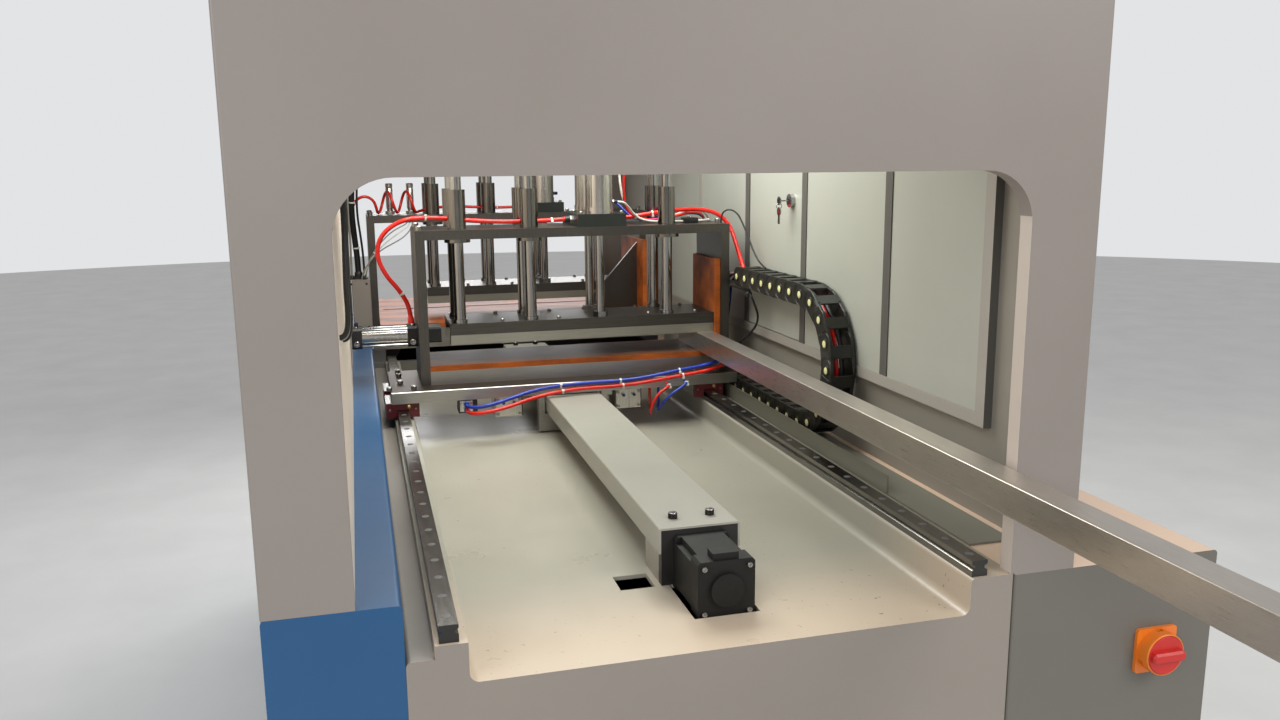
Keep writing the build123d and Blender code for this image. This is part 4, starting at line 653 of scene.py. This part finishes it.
side_hose_route = [
    (-311, 1232, 996), (-311, 1232, 1032), (-332, 1224, 1074), (-363, 1215, 1112), (-380, 1209, 1158),
    (-366, 1205, 1202), (-322, 1206, 1231), (-266, 1212, 1234), (-206, 1216, 1228), (-136, 1217, 1222),
    (-66, 1215, 1220), (-4, 1216, 1221), (31, 1217, 1223), (55, 1217, 1223),
]
front_red_route = [
    (-210, 1078, 828), (-210, 1056, 828), (-198, 1035, 830), (-177, 1023, 833), (-152, 1023, 837),
    (-118, 1034, 842), (-74, 1051, 851), (-16, 1066, 858), (52, 1074, 861), (107, 1075, 860),
    (161, 1073, 863), (215, 1072, 869), (262, 1072, 875), (303, 1070, 880), (332, 1071, 884),
    (357, 1078, 888), (379, 1091, 892), (394, 1107, 895), (399, 1126, 896), (399, 1142, 896),
]
front_blue_route = [
    (-210, 1078, 840), (-210, 1059, 840), (-198, 1040, 842), (-177, 1030, 845), (-152, 1031, 850),
    (-116, 1043, 857), (-70, 1059, 866), (-11, 1071, 871), (57, 1076, 872), (113, 1077, 871),
    (167, 1075, 874), (221, 1074, 881), (268, 1075, 888), (308, 1074, 893), (336, 1076, 897),
    (360, 1083, 901), (381, 1095, 905), (395, 1110, 908), (399, 1127, 910), (399, 1142, 910),
]
gantry_red_route = [
    (165, 1232, 1223), (189, 1232, 1223), (210, 1233, 1226), (256, 1230, 1233), (310, 1231, 1238),
    (362, 1228, 1240), (408, 1220, 1230), (434, 1206, 1200), (440, 1182, 1160), (440, 1150, 1124),
    (439, 1113, 1093.1),
]
chain_wire_route = [
    (399, 1172, 1209), (399, 1172, 1221), (403, 1170, 1235), (416, 1163, 1241), (430, 1151, 1233),
    (438, 1138, 1212), (444, 1120, 1184), (448, 1100, 1156), (451, 1078, 1134), (453, 1054, 1121),
    (453, 1028, 1115.2),
]
harness_route = [
    (-418, 1881, 1036), (-418, 1881, 1090), (-424, 1872, 1160), (-427, 1855, 1224), (-423, 1845, 1292),
    (-416, 1849, 1362), (-415, 1861, 1436), (-420, 1868, 1514), (-424, 1867, 1594), (-423, 1862, 1676),
    (-423, 1862, 1747),
]
coil_middle = (-353, 1935, 1243.3)
coil_radius = 30
coil_pitch = 52
coil_turns = 2
coil_points = 12
saw_hose_route = [
    (-418, 1915, 1036), (-418, 1915, 1080), (-422, 1911, 1128), (-426, 1906, 1175), (-427, 1903, 1206),
    (-424, 1900, 1234), (-410, 1898, 1256), (-387, 1898, 1263), (-366, 1902, 1251), (-359, 1907, 1229),
]
for step in range(-1, coil_turns * coil_points + 1):
    turn = 2 * math.pi * step / coil_points
    saw_hose_route.append((
        coil_middle[0] + coil_pitch * step / coil_points,
        coil_middle[1] + coil_radius * math.sin(turn),
        coil_middle[2] - coil_radius * math.cos(turn),
    ))
saw_hose_route += [
    (-241, 1950, 1215.5), (-225, 1961, 1219), (-201, 1965, 1223), (-166, 1961, 1227), (-120, 1953, 1227),
    (-68, 1948, 1224), (-18, 1946, 1222), (31, 1945, 1223), (55, 1945, 1223),
]
cord("side_hose_tube", "side_hose", "carriage", side_hose_route, 10, 654, red_tube,
     ties=(0.115, 0.50, 0.93))
cord("front_red_run", "front_red_tube", "carriage", front_red_route, 8, 698, red_tube,
     ties=(0.36, 0.56, 0.76))
cord("front_blue_run", "front_blue_tube", "carriage", front_blue_route, 8, 689, blue_tube,
     ties=(0.35, 0.55, 0.75))
cord("gantry_red_run", "gantry_red_tube", "carriage", gantry_red_route, 10, 429, red_tube, ties=(0.20,))
cord("chain_wire_run", "chain_wire", "carriage", chain_wire_route, 4, 240, wire_black)
cord("harness_run", "harness", "base", harness_route, 16, 716, wire_black, ties=(0.12, 0.30, 0.55))
cord("saw_hose_run", "saw_hose", "base", saw_hose_route, 8, 1024, red_tube, ties=(0.93,))


# Thin tubes and wires that only the looks show, in millimetres

def thin(name, body, route, diameter, made, ties=(), bundle=None):
    """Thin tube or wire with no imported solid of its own."""
    return cord(name, None, body, route, diameter, None, made, ties, bundle)


thin("press_red_tube", "carriage", [
    (142, 1176, 1422), (156, 1176, 1422), (167, 1178, 1417), (174, 1181, 1402), (175, 1186, 1370),
    (174, 1192, 1330), (173, 1199, 1290), (177, 1206, 1256), (190, 1211, 1234), (214, 1213, 1220),
    (252, 1214, 1216), (300, 1219, 1224), (345, 1238, 1232), (380, 1270, 1229), (401, 1305, 1218),
    (413, 1330, 1192), (420, 1340, 1146), (426, 1338, 1090), (431, 1330, 1034), (434, 1312, 985),
    (436, 1282, 965), (437, 1256, 982), (437, 1243, 1024), (437, 1232, 1062), (436, 1210, 1083),
    (435, 1170, 1090), (435, 1125, 1092),
], 6, red_tube, ties=(0.24,))
thin("press_blue_tube", "carriage", [
    (142, 1288, 1262), (156, 1288, 1262), (169, 1284, 1260), (182, 1274, 1250), (194, 1262, 1234),
    (212, 1254, 1220), (250, 1251, 1214), (300, 1254, 1222), (346, 1268, 1229), (383, 1292, 1226),
    (407, 1316, 1214), (422, 1334, 1186), (430, 1342, 1140), (437, 1341, 1084), (443, 1334, 1026),
    (446, 1316, 973), (447, 1286, 949), (448, 1258, 966), (448, 1244, 1010), (448, 1236, 1052),
    (448, 1216, 1078), (447, 1176, 1088), (446, 1125, 1090),
], 6, blue_tube)
thin("press_white_tube", "carriage", [
    (142, 1288, 1422), (156, 1288, 1422), (168, 1284, 1417), (176, 1277, 1402), (179, 1268, 1370),
    (178, 1258, 1330), (179, 1249, 1290), (186, 1244, 1256), (202, 1242, 1230), (226, 1242, 1217),
    (262, 1242, 1214), (306, 1246, 1224), (346, 1256, 1237), (382, 1276, 1236), (408, 1300, 1224),
    (426, 1322, 1196), (438, 1334, 1150), (446, 1334, 1110), (450, 1318, 1082), (452, 1286, 1078),
    (453, 1244, 1084), (453, 1200, 1088), (453, 1150, 1089), (453, 1125, 1089),
], 5, white_tube)
thin("mount_white_tube", "carriage", [
    (142, 1176, 1262), (156, 1176, 1262), (169, 1180, 1260), (182, 1190, 1250), (196, 1202, 1234),
    (216, 1208, 1219), (252, 1207, 1213), (300, 1206, 1213), (350, 1212, 1213), (385, 1228, 1213),
    (399, 1252, 1212.5), (401, 1285, 1211.8), (401, 1312, 1211.5),
], 5, white_tube)
thin("bracket_wire", "carriage", [
    (421.5, 1044, 1057.5), (421.5, 1036, 1056.5), (424, 1030, 1046), (432, 1032, 1028), (443, 1044, 1008),
    (447, 1062, 984), (440, 1084, 962), (426, 1100, 944), (421, 1116, 924), (430, 1134, 906),
    (436, 1150, 892), (428, 1164, 884), (415, 1172, 882), (409, 1174, 882),
], 5, wire_black)
thin("box_wire_white", "base", [
    (-272, 1862.5, 1189), (-276, 1856, 1180), (-296, 1850, 1166), (-322, 1847, 1150), (-350, 1846, 1128),
    (-376, 1846, 1100), (-394, 1847, 1072), (-403, 1850, 1048), (-404, 1852, 1036),
], 3.5, white_tube, ties=(0.62,), bundle=12)
thin("box_wire_grey", "base", [
    (-264, 1862.5, 1189), (-268, 1854, 1174), (-290, 1846, 1150), (-320, 1843, 1134), (-352, 1842, 1118),
    (-379, 1843, 1094), (-399, 1844, 1068), (-409, 1847, 1046), (-410, 1848, 1036),
], 3.5, wire_grey)
thin("box_wire_brown", "base", [
    (-280, 1862.5, 1189), (-284, 1856, 1184), (-304, 1851, 1176), (-330, 1850, 1160), (-356, 1850, 1134),
    (-379, 1850, 1104), (-392, 1851, 1074), (-397, 1854, 1050), (-398, 1856, 1036),
], 3.5, wire_grey)
thin("roof_wire_grey", "base", [
    (-436, 1862, 1036), (-436, 1860, 1090), (-434, 1846, 1150), (-437, 1836, 1215), (-434, 1832, 1290),
    (-428, 1838, 1370), (-429, 1848, 1450), (-433, 1850, 1530), (-435, 1846, 1610), (-434, 1843, 1685),
    (-434, 1843, 1747),
], 6, wire_grey)
thin("roof_wire_dark", "base", [
    (-402, 1868, 1036), (-402, 1866, 1090), (-406, 1852, 1150), (-413, 1838, 1215), (-410, 1828, 1290),
    (-401, 1832, 1370), (-402, 1846, 1450), (-407, 1852, 1530), (-410, 1850, 1610), (-409, 1846, 1685),
    (-409, 1846, 1747),
], 6, wire_black)
thin("branch_red_tube", "carriage", [
    (240, 1086, 857), (240, 1068, 857), (236, 1057, 856), (224, 1052, 851), (209, 1051, 840),
    (199, 1054, 822), (196, 1063, 803), (200, 1079, 790), (206, 1097, 790), (208, 1111, 803),
    (208, 1116, 825), (208, 1116, 849),
], 6, red_tube, ties=(0.12,))
thin("branch_blue_tube", "carriage", [
    (282, 1086, 861), (282, 1068, 861), (276, 1056, 859), (258, 1050, 850), (238, 1050, 838),
    (223, 1056, 820), (217, 1070, 803), (220, 1090, 796), (226, 1106, 806), (228, 1112, 828),
    (228, 1112, 849),
], 6, blue_tube, ties=(0.12,))
wall_wires = (
    (85, 1158, 6, wire_black),
    (150, 1146, 5, wire_grey),
    (225, 1136, 6, wire_black),
    (300, 1120, 6, wire_black),
    (385, 1106, 5, wire_grey),
    (480, 1094, 6, wire_black),
    (590, 1078, 4.5, white_tube),
)
for number, (y, low, diameter, made) in enumerate(wall_wires, 1):
    sway = 6 * math.sin(2.1 * number)
    thin(f"wall_wire_{number}", "base", [
        (-444, y, 1560), (-437, y, 1560), (-433, y, 1545), (-432, y + sway, 1480), (-436, y - sway, 1390),
        (-431, y + sway, 1300), (-434, y - 0.5 * sway, 1220), (-433, y, low + 20), (-437, y, low),
        (-444, y, low),
    ], diameter, made)


# Energy chain, as three fixed pieces between the tray and the gantry

chain_wall = 0.006
chain_play = 0.0005
plate_step = 0.0010
overlap = 0.0004
cable_height = -0.006
cables_in_chain = ((0.4290, 0.0040, blue_tube), (0.4380, 0.0042, red_tube), (0.4485, 0.0045, wire_black))


def chain_pivots():
    """Pivots from the fixed end, along the tray, up round the bend and back to the bracket."""
    for step in range(chain_lower_links):
        yield chain_lower_end - step * chain_pitch, chain_low
    middle = chain_low + chain_radius
    for step in range(chain_bend_links):
        turn = math.pi * step / chain_bend_links
        yield chain_bend_start - chain_radius * math.sin(turn), middle - chain_radius * math.cos(turn)
    for step in range(chain_upper_links + 1):
        yield chain_bend_start + step * chain_pitch, chain_high


def link_outline(grow):
    """Side plate seen along X: hollow at its own pivot and round at the next one."""
    half = chain_height / 2 - grow
    hollow = chain_height / 2 + chain_play + grow
    spread = math.acos(math.sqrt(1 - (half / hollow) ** 2))
    outline = []
    for step in range(13):
        angle = spread - 2 * spread * step / 12
        outline.append((hollow * math.cos(angle), hollow * math.sin(angle)))
    for step in range(17):
        angle = math.pi * (step / 16 - 0.5)
        outline.append((chain_pitch + half * math.cos(angle), half * math.sin(angle)))
    return outline


def link_place(pivot, after):
    """Function that turns a link's own along and height into a place on its side at X."""
    heading = Vector((after[0] - pivot[0], after[1] - pivot[1])).normalized()

    def place(x, along, height):
        return at(x, pivot[0] + along * heading.x - height * heading.y,
                  pivot[1] + along * heading.y + height * heading.x)

    return place


def add_link(batch, pivot, after):
    """One link: two side plates with a raised panel, a boss and a dot, and two cross bars."""
    place = link_place(pivot, after)
    panel_end = chain_pitch * 0.72
    for x0, out in ((chain_left, -1), (chain_left + chain_width, 1)):
        plate = [place(x0, along, height) for along, height in link_outline(0)]
        batch.add(prism(plate, X * -out * chain_wall, 0.0006), chain_black)
        rim = [spot for spot in link_outline(0.0035) if spot[0] < panel_end]
        rim += [(panel_end, -0.0175), (panel_end, 0.0175)]
        panel = [place(x0 - out * overlap, along, height) for along, height in rim]
        batch.add(prism(panel, X * out * (plate_step + overlap), 0.0005), chain_black)
        hub = place(x0, chain_pitch, 0)
        batch.add(turned(hub - X * out * overlap, X * out, [
            (0, 0.0108), (plate_step + overlap, 0.0108), (plate_step + 0.0009, 0.0102),
        ]), chain_black)
        batch.add(turned(hub + X * out * (plate_step - 0.0001), X * out, [
            (0, 0.0068), (0.0008, 0.0068), (0.0012, 0.0060), (0.0013, 0.0020),
        ]), dot_yellow)
    start = chain_pitch * 0.42
    end = chain_pitch * 0.92
    for side in (-1, 1):
        edge = side * chain_height / 2
        raised = edge + side * 0.0008
        inner = side * (chain_height / 2 - 0.003)
        bar = [(start, inner), (start + 0.001, edge), (end - 0.001, edge), (end, inner)]
        pad = [(start + 0.004, edge), (start + 0.005, raised), (end - 0.005, raised), (end - 0.004, edge)]
        bar_line = [place(chain_left + 0.0008, *spot) for spot in bar]
        batch.add(prism(bar_line, X * (chain_width - 0.0016), 0.0004), chain_black)
        for x0 in (chain_left + 0.001, chain_left + chain_width - 0.006):
            batch.add(prism([place(x0, *spot) for spot in pad], X * 0.005), chain_black)


def chain_part(name, first, last):
    """The links from one pivot to another with the cables inside them, as one fixed piece on no body."""
    pivots = list(chain_pivots())[first:last + 1]
    batch = Batch(name, None, "black_plastic")
    spots = []
    for pivot, after in zip(pivots, pivots[1:]):
        add_link(batch, pivot, after)
        place = link_place(pivot, after)
        spots += [place(0, 0, cable_height), place(0, chain_pitch / 2, cable_height)]
    spots.append(place(0, chain_pitch, cable_height))
    for x, radius, made in cables_in_chain:
        batch.add(swept([spot + X * x for spot in spots], radius, 10), made)
    piece = batch.done()
    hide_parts("energy_chain", "chain_cables")
    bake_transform(piece)
    return piece


upper_first = chain_lower_links + chain_bend_links
chain_part("chain_lower_run", 0, chain_lower_links)
chain_part("chain_bend", chain_lower_links, upper_first)
chain_part("chain_upper_run", upper_first, upper_first + chain_upper_links)


# Screws, fittings and other small pieces

def socket_mark(batch, place, direction, radius, made):
    """Raised rim round a six-sided recess whose floor is a black disc of painted shade, on a screw head
    that is already there.
    """
    batch.add(turned(place - direction * 0.0002, direction, [
        (0, 0.98 * radius), (0.0007, 0.92 * radius), (0.0009, 0.60 * radius, 6),
        (0.0003, 0.55 * radius, 6), (0, 0.55 * radius, 6),
    ], ring=True), made)
    # painted shade: a black disc at the floor of the recess
    batch.add(turned(place - direction * 0.0001, direction, [
        (0, 0.54 * radius, 6), (0.0003, 0.54 * radius, 6),
    ]), black_plastic)


def press_trim(name, body, front, left):
    """Screws of a gantry's top plate, of the mount and of the cylinders, and the port fittings."""
    batch = Batch(name, body, "steel")
    middle = front + 0.090
    for x, inset in ((left + 0.010, 0.026), (left + 0.010, 0.154), (gantry_right - 0.010, 0.053)):
        socket_screw(batch, at(x, front + inset, gantry_top), Z, 0.010)
    for x in (0.064, 0.156):
        for y in (front + 0.012, middle, front + 0.168):
            if x < 0.1 or y != middle:
                socket_screw(batch, at(x, y, gantry_top + 0.028), Z, 0.006)
    for y in (middle - press_row, middle + press_row):
        for level in (port_low, port_high):
            push_fitting(batch, at(0.1415, y, level), X, 0.006, blue_tube)
        cap = at(press_middle, y, press_cap)
        for quarter in range(4):
            angle = math.pi * (0.25 + 0.5 * quarter)
            reach = 0.0235 * Vector((math.cos(angle), math.sin(angle), 0))
            socket_screw(batch, cap + reach, Z, 0.005)
            rod = [cap + reach * 1.22 - Z * depth for depth in (0.0115, 0.1895)]
            batch.add(swept(rod, 0.0024, 10), rod_metal)
    return batch.done()


press_trim("feed_press_trim", "carriage", feed_gantry_front, gantry_left)
press_trim("saw_press_trim", "base", saw_gantry_front, saw_table_left)


def side_cylinder_trim():
    """Tie rods, screws and fittings of the clamp cylinder, and the fittings on the press mount."""
    batch = Batch("side_cylinder_trim", "carriage", "steel")
    for y in (-0.0175, 0.0175):
        for z in (-0.0175, 0.0175):
            line = [at(x, feed_middle + y, side_axis + z) for x in (-0.4195, -0.3205)]
            batch.add(swept(line, 0.0026, 10), rod_metal)
    for x in (-0.430, -0.310):
        socket_screw(batch, at(x, feed_middle - 0.023, 0.962), -Y, 0.009, rod_metal)
        for side in (-0.0145, 0.0145):
            socket_screw(batch, at(x, feed_middle + side, side_top), Z, 0.004, rod_metal)
    push_fitting(batch, at(-0.311, feed_middle, side_top), Z, 0.010, red_tube, red_tube)
    push_fitting(batch, at(-0.430, feed_middle, side_top), Z, 0.006, blue_tube)
    push_fitting(batch, at(mount_left, 1.217, mount_port), -X, 0.010, red_tube)
    push_fitting(batch, at(mount_right, feed_middle, mount_port), X, 0.010, red_tube)
    return batch.done()


side_cylinder_trim()


def carriage_trim():
    """Screws of the carriage plate, the guide blocks and the small cylinders under its front."""
    batch = Batch("carriage_trim", "carriage", "steel")
    for x in (-0.3695, -0.3175, 0.3175, 0.3695):
        socket_screw(batch, at(x, 1.116, carriage_top), Z, 0.008)
    for y in (1.180, 1.260, 1.305):
        socket_screw(batch, at(-rail_half, y, carriage_top), Z, 0.008)
    for x in (-rail_half, rail_half):
        for side in (-0.027, 0.027):
            socket_screw(batch, at(x + side, 1.093, 0.836), -Y, 0.003)
        batch.add(turned(at(x + 0.012, 1.0935, 0.842), -Y, [
            (0, 0.0042, 6), (0.003, 0.0042, 6), (0.0036, 0.0026), (0.0062, 0.0026), (0.0072, 0.0032),
            (0.0086, 0.002),
        ]), fitting_brass)
    for x in (-0.118, 0.152):
        for side in (-0.024, 0.024):
            for level in (0.811, 0.843):
                socket_screw(batch, at(x + side, 1.092, level), -Y, 0.0045)
        for side in (-0.012, 0.012):
            push_fitting(batch, at(x + side, 1.092, 0.836), -Y, 0.0045, blue_tube)
    for level in (0.828, 0.840):
        batch.add(turned(at(-0.210, 1.0805, level), -Y, [
            (0, 0.0052), (0, 0.0060), (0.0016, 0.0060), (0.0022, 0.0054), (0.0022, 0.0043),
        ], ring=True), blue_tube)
    batch.add(block(at(-0.224, 1.0885, 0.8225), at(-0.196, 1.0925, 0.8465), 0.0006), cylinder_metal)
    for sixth in range(6):
        angle = math.pi * sixth / 3
        spot = at(0.025 + 0.0252 * math.cos(angle), 1.084, 0.796 + 0.0252 * math.sin(angle))
        socket_screw(batch, spot, -Y, 0.004)
    return batch.done()


carriage_trim()


def beam_trim(name, body, front):
    """Screws along the press beam."""
    batch = Batch(name, body, "steel")
    for x in (-0.2, -0.115, 0.012, 0.222, 0.335):
        for inset in (0.030, 0.150):
            socket_screw(batch, at(x, front + inset, beam_top), Z, 0.006)
    return batch.done()


beam_trim("feed_beam_trim", "feed_press", feed_gantry_front)
beam_trim("saw_beam_trim", "saw_press", saw_gantry_front)


def bracket_trim():
    """Cable gland and screws of the chain's bracket, and the tube clamp on the top plate."""
    batch = Batch("bracket_trim", "carriage", "black_plastic")
    batch.add(turned(at(0.4215, 1.0585, 1.0575), -Y, [
        (0, 0.0075, 6), (0.005, 0.0075, 6), (0.0055, 0.0068), (0.013, 0.0066), (0.0145, 0.0050),
        (0.0145, 0.0026), (0.006, 0.0026),
    ]), black_plastic)
    for y in (1.165, 1.215):
        socket_screw(batch, at(0.412, y, 1.045), X, 0.006)
    clamp_top = gantry_top + 0.012
    clamp = block(at(0.318, 1.197, gantry_top - 0.0002), at(0.352, 1.227, clamp_top), 0.001)
    batch.add(clamp, black_plastic)
    for y in (1.203, 1.221):
        socket_screw(batch, at(0.335, y, clamp_top), Z, 0.004, rod_metal)
    return batch.done()


bracket_trim()


def base_trim():
    """Rail plugs, screws of cover, motor and junction box, the two posts, and the glands."""
    batch = Batch("base_trim", "base", "steel")
    for x in (-rail_half, rail_half):
        for step in range(29):
            place = at(x, 0.030 + 0.060 * step, rail_top - 0.0003)
            batch.add(turned(place, Z, [(0, 0.0056), (0.0005, 0.0056), (0.0006, 0.0050)]), plug_grey)
    for x in (-0.003, 0.053):
        for y in (0.246, 1.753):
            socket_mark(batch, at(x, y, 0.854), Z, 0.0068, screw_steel)
    for x in (-0.0065, 0.0565):
        for z in (0.7645, 0.8275):
            socket_screw(batch, at(x, motor_rear, z), -Y, 0.005)
    for x in (-0.398, -0.439):
        for z in (0.905, 1.025):
            batch.add(turned(at(x, 1.8393, z), -Y, [(0, 0.0032), (0.0008, 0.0030), (0.0014, 0.0020)]),
                      black_plastic)
    for x in (-0.320, -0.262):
        batch.add(turned(at(x, 1.985, gantry_top - 0.0003), Z, [
            (0, 0.0115, 6), (0.008, 0.0115, 6), (0.009, 0.0085), (0.014, 0.0085), (0.015, 0.0100),
            (0.070, 0.0100), (0.072, 0.0092), (0.074, 0.0092), (0.075, 0.0100), (0.084, 0.0100),
            (0.086, 0.0085),
        ], 28), cylinder_metal)
    push_fitting(batch, at(mount_left, 1.945, mount_port), -X, 0.008, red_tube)
    batch.add(turned(at(-0.418, 1.881, wire_entry - 0.0005), Z, [
        (0, 0.0125, 6), (0.007, 0.0125, 6), (0.008, 0.0110), (0.017, 0.0105), (0.020, 0.0090),
    ]), black_plastic)
    for x, y, radius in (
        (-0.436, 1.862, 0.0055), (-0.402, 1.868, 0.0055),
        (-0.418, 1.915, 0.0065), (-0.404, 1.852, 0.0042),
    ):
        batch.add(turned(at(x, y, wire_entry - 0.0003), Z, [
            (0, 1.4 * radius, 6), (0.004, 1.4 * radius, 6), (0.005, 1.2 * radius), (0.010, 1.1 * radius),
            (0.012, 0.9 * radius),
        ]), black_plastic)
    return batch.done()


base_trim()


# Louvres, screws and a handle on the outside

def louvre(batch, corner, along, out, length, made):
    """Pressed air slot: a slanted hood over a black slab of painted shade in the slot's opening, from its
    upper corner.
    """
    hood = ((-0.0010, 0), (0.0006, 0), (0.0085, 0.0125),
            (0.0080, 0.0145), (0.0062, 0.0145), (-0.0010, 0.0045))
    # painted shade: a black slab flush with the sheet stands for the dark opening under the hood
    shade_slab = ((-0.0006, 0.0050), (0.0005, 0.0050), (0.0005, 0.0185), (-0.0006, 0.0185))
    for outline, edge, finish in ((hood, 0.0006, made), (shade_slab, 0.0002, black_plastic)):
        side = [corner + out * reach - Z * drop for reach, drop in outline]
        batch.add(prism(side, along * length, edge), finish)


def louvre_bank(batch, corner, along, out, length, count, made):
    """Column of air slots, one below the other."""
    for step in range(count):
        louvre(batch, corner - Z * 0.030 * step, along, out, length, made)


def low_screw(batch, place, direction):
    """Low round screw head with a square recess, on a sheet."""
    batch.add(turned(place - direction * 0.0004, direction, [
        (0, 0.0062), (0.0010, 0.0062), (0.0024, 0.0046), (0.0030, 0.0026), (0.0018, 0.0018, 4),
    ]), screw_steel)


def outside_trim():
    """Sheet screws and air slots on the left base, the cabinet, the rear and the walls."""
    batch = Batch("outside_trim", "base", "dark_paint")
    low_row = 0.088
    for low, high in ((0.0, 1.324), (1.326, rear_edge)):
        for y in (low + 0.03, (low + high) / 2, high - 0.03):
            for z in (low_row, 0.838):
                low_screw(batch, at(left_edge, y, z), -X)
    for step in range(6):
        for z in (0.896, 1.718):
            low_screw(batch, at(left_edge, 0.06 + 0.456 * step, z), -X)
    for y in (1.50, 1.72):
        louvre_bank(batch, at(left_edge, y, 0.44), Y, -X, 0.17, 8, blue_paint)
    for y in (1.20, 1.42):
        louvre_bank(batch, at(right_edge, y, 0.66), Y, X, 0.17, 9, cabinet_paint)
    for y in (1.14, 1.46, 1.76, 1.82, 2.37):
        for z in (low_row, 0.782):
            low_screw(batch, at(right_edge, y, z), X)
    for x in (-0.22, 0.02, 0.26):
        louvre_bank(batch, at(x, rear_edge, 0.42), X, Y, 0.19, 9, cabinet_paint)
    for x in (-0.36, 0.0, 0.36, 0.69):
        for z in (low_row, 0.782):
            low_screw(batch, at(x, rear_edge, z), Y)
    for x in (-0.515, 0.455):
        for z in (0.90, 1.31, 1.72):
            low_screw(batch, at(x, rear_edge, z), Y)
    return batch.done()


def handle_trim():
    """Swing handle in its shallow dish on the cabinet door."""
    batch = Batch("cabinet_handle", "cabinet_door", "black_plastic")
    batch.add(block(at(0.7186, 0.350, 0.375), at(0.7230, 0.386, 0.525), 0.0018), black_plastic)
    batch.add(block(at(0.7222, 0.357, 0.383), at(0.7315, 0.379, 0.492), 0.0030), black_plastic)
    batch.add(turned(at(0.7222, 0.368, 0.509), X, [
        (0, 0.0095), (0.0060, 0.0095), (0.0068, 0.0088), (0.0068, 0.0050), (0.0058, 0.0048, 4),
    ]), screw_steel)
    return batch.done()


outside_trim()
handle_trim()


# Stage, light and camera

def area_lamp(name, place, target, size, power, tint):
    """Soft square lamp that looks at a place and isn't seen itself."""
    light = bpy.data.lights.new(name, "AREA")
    light.size = size
    light.energy = power
    light.color = tint
    lamp = new_object(name, light)
    lamp.location = at(*place)
    lamp.rotation_euler = (at(*target) - at(*place)).to_track_quat("-Z", "Y").to_euler()
    lamp.visible_camera = False
    return lamp


def build_stage():
    """Pale round floor under a pale sky."""
    ground = Finish("floor_finish", 0.6)
    ground.colour(ground.shade(ground.noise(3, detail=5), (222, 222, 220), (214, 214, 212)))
    ground.bump(ground.noise(120, detail=3), 0.05, 0.0005)
    tool = bmesh.new()
    bmesh.ops.create_circle(tool, cap_ends=True, segments=96, radius=14)
    mesh = bpy.data.meshes.new("floor")
    tool.to_mesh(mesh)
    tool.free()
    mesh.materials.append(ground.material)
    floor = new_object("floor", mesh)
    floor.location.z = -0.0005
    world = bpy.data.worlds.new("sky")
    bpy.context.scene.world = world
    world.use_nodes = True
    tree = world.node_tree
    back = tree.nodes["Background"]
    back.inputs["Color"].default_value = srgb(236, 237, 238)
    back.inputs["Strength"].default_value = 0.62
    shown = tree.nodes.new("ShaderNodeBackground")
    shown.inputs["Color"].default_value = srgb(232, 233, 235)
    shown.inputs["Strength"].default_value = 0.95
    rays = tree.nodes.new("ShaderNodeLightPath")
    blend = tree.nodes.new("ShaderNodeMixShader")
    tree.links.new(rays.outputs["Is Camera Ray"], blend.inputs[0])
    tree.links.new(back.outputs[0], blend.inputs[1])
    tree.links.new(shown.outputs[0], blend.inputs[2])
    tree.links.new(blend.outputs[0], tree.nodes["World Output"].inputs["Surface"])


build_stage()
area_lamp("key_lamp", (2.4, -2.6, 3.4), (0.0, 0.8, 0.9), 2.2, 105, (1.0, 0.98, 0.95))
area_lamp("fill_lamp", (-2.6, -2.2, 2.6), (0.0, 0.9, 0.9), 2.4, 75, (0.96, 0.98, 1.0))
area_lamp("top_lamp", (0.0, 1.0, 1.72), (0.0, 1.0, 0.8), 0.75, 16, (0.97, 1.0, 0.96))
area_lamp("rear_lamp", (0.3, 3.6, 2.2), (0.0, 1.6, 1.1), 1.6, 45, (1.0, 1.0, 1.0))

camera_data = bpy.data.cameras.new("camera")
camera_data.lens = 29.25
camera_data.sensor_width = 36.0
camera = new_object("camera", camera_data)
right = Vector((0.9645, -0.2626, -0.0090))
up = Vector((0.0578, 0.1778, 0.9822))
forward = Vector((0.2578, 0.9484, -0.1878))
view_axes = Matrix((right, up, -forward)).transposed()
camera.matrix_world = Matrix.Translation(at(-0.420, -1.120, 1.350)) @ view_axes.to_4x4()
bpy.context.scene.camera = camera
bpy.context.scene.view_settings.view_transform = "Standard"
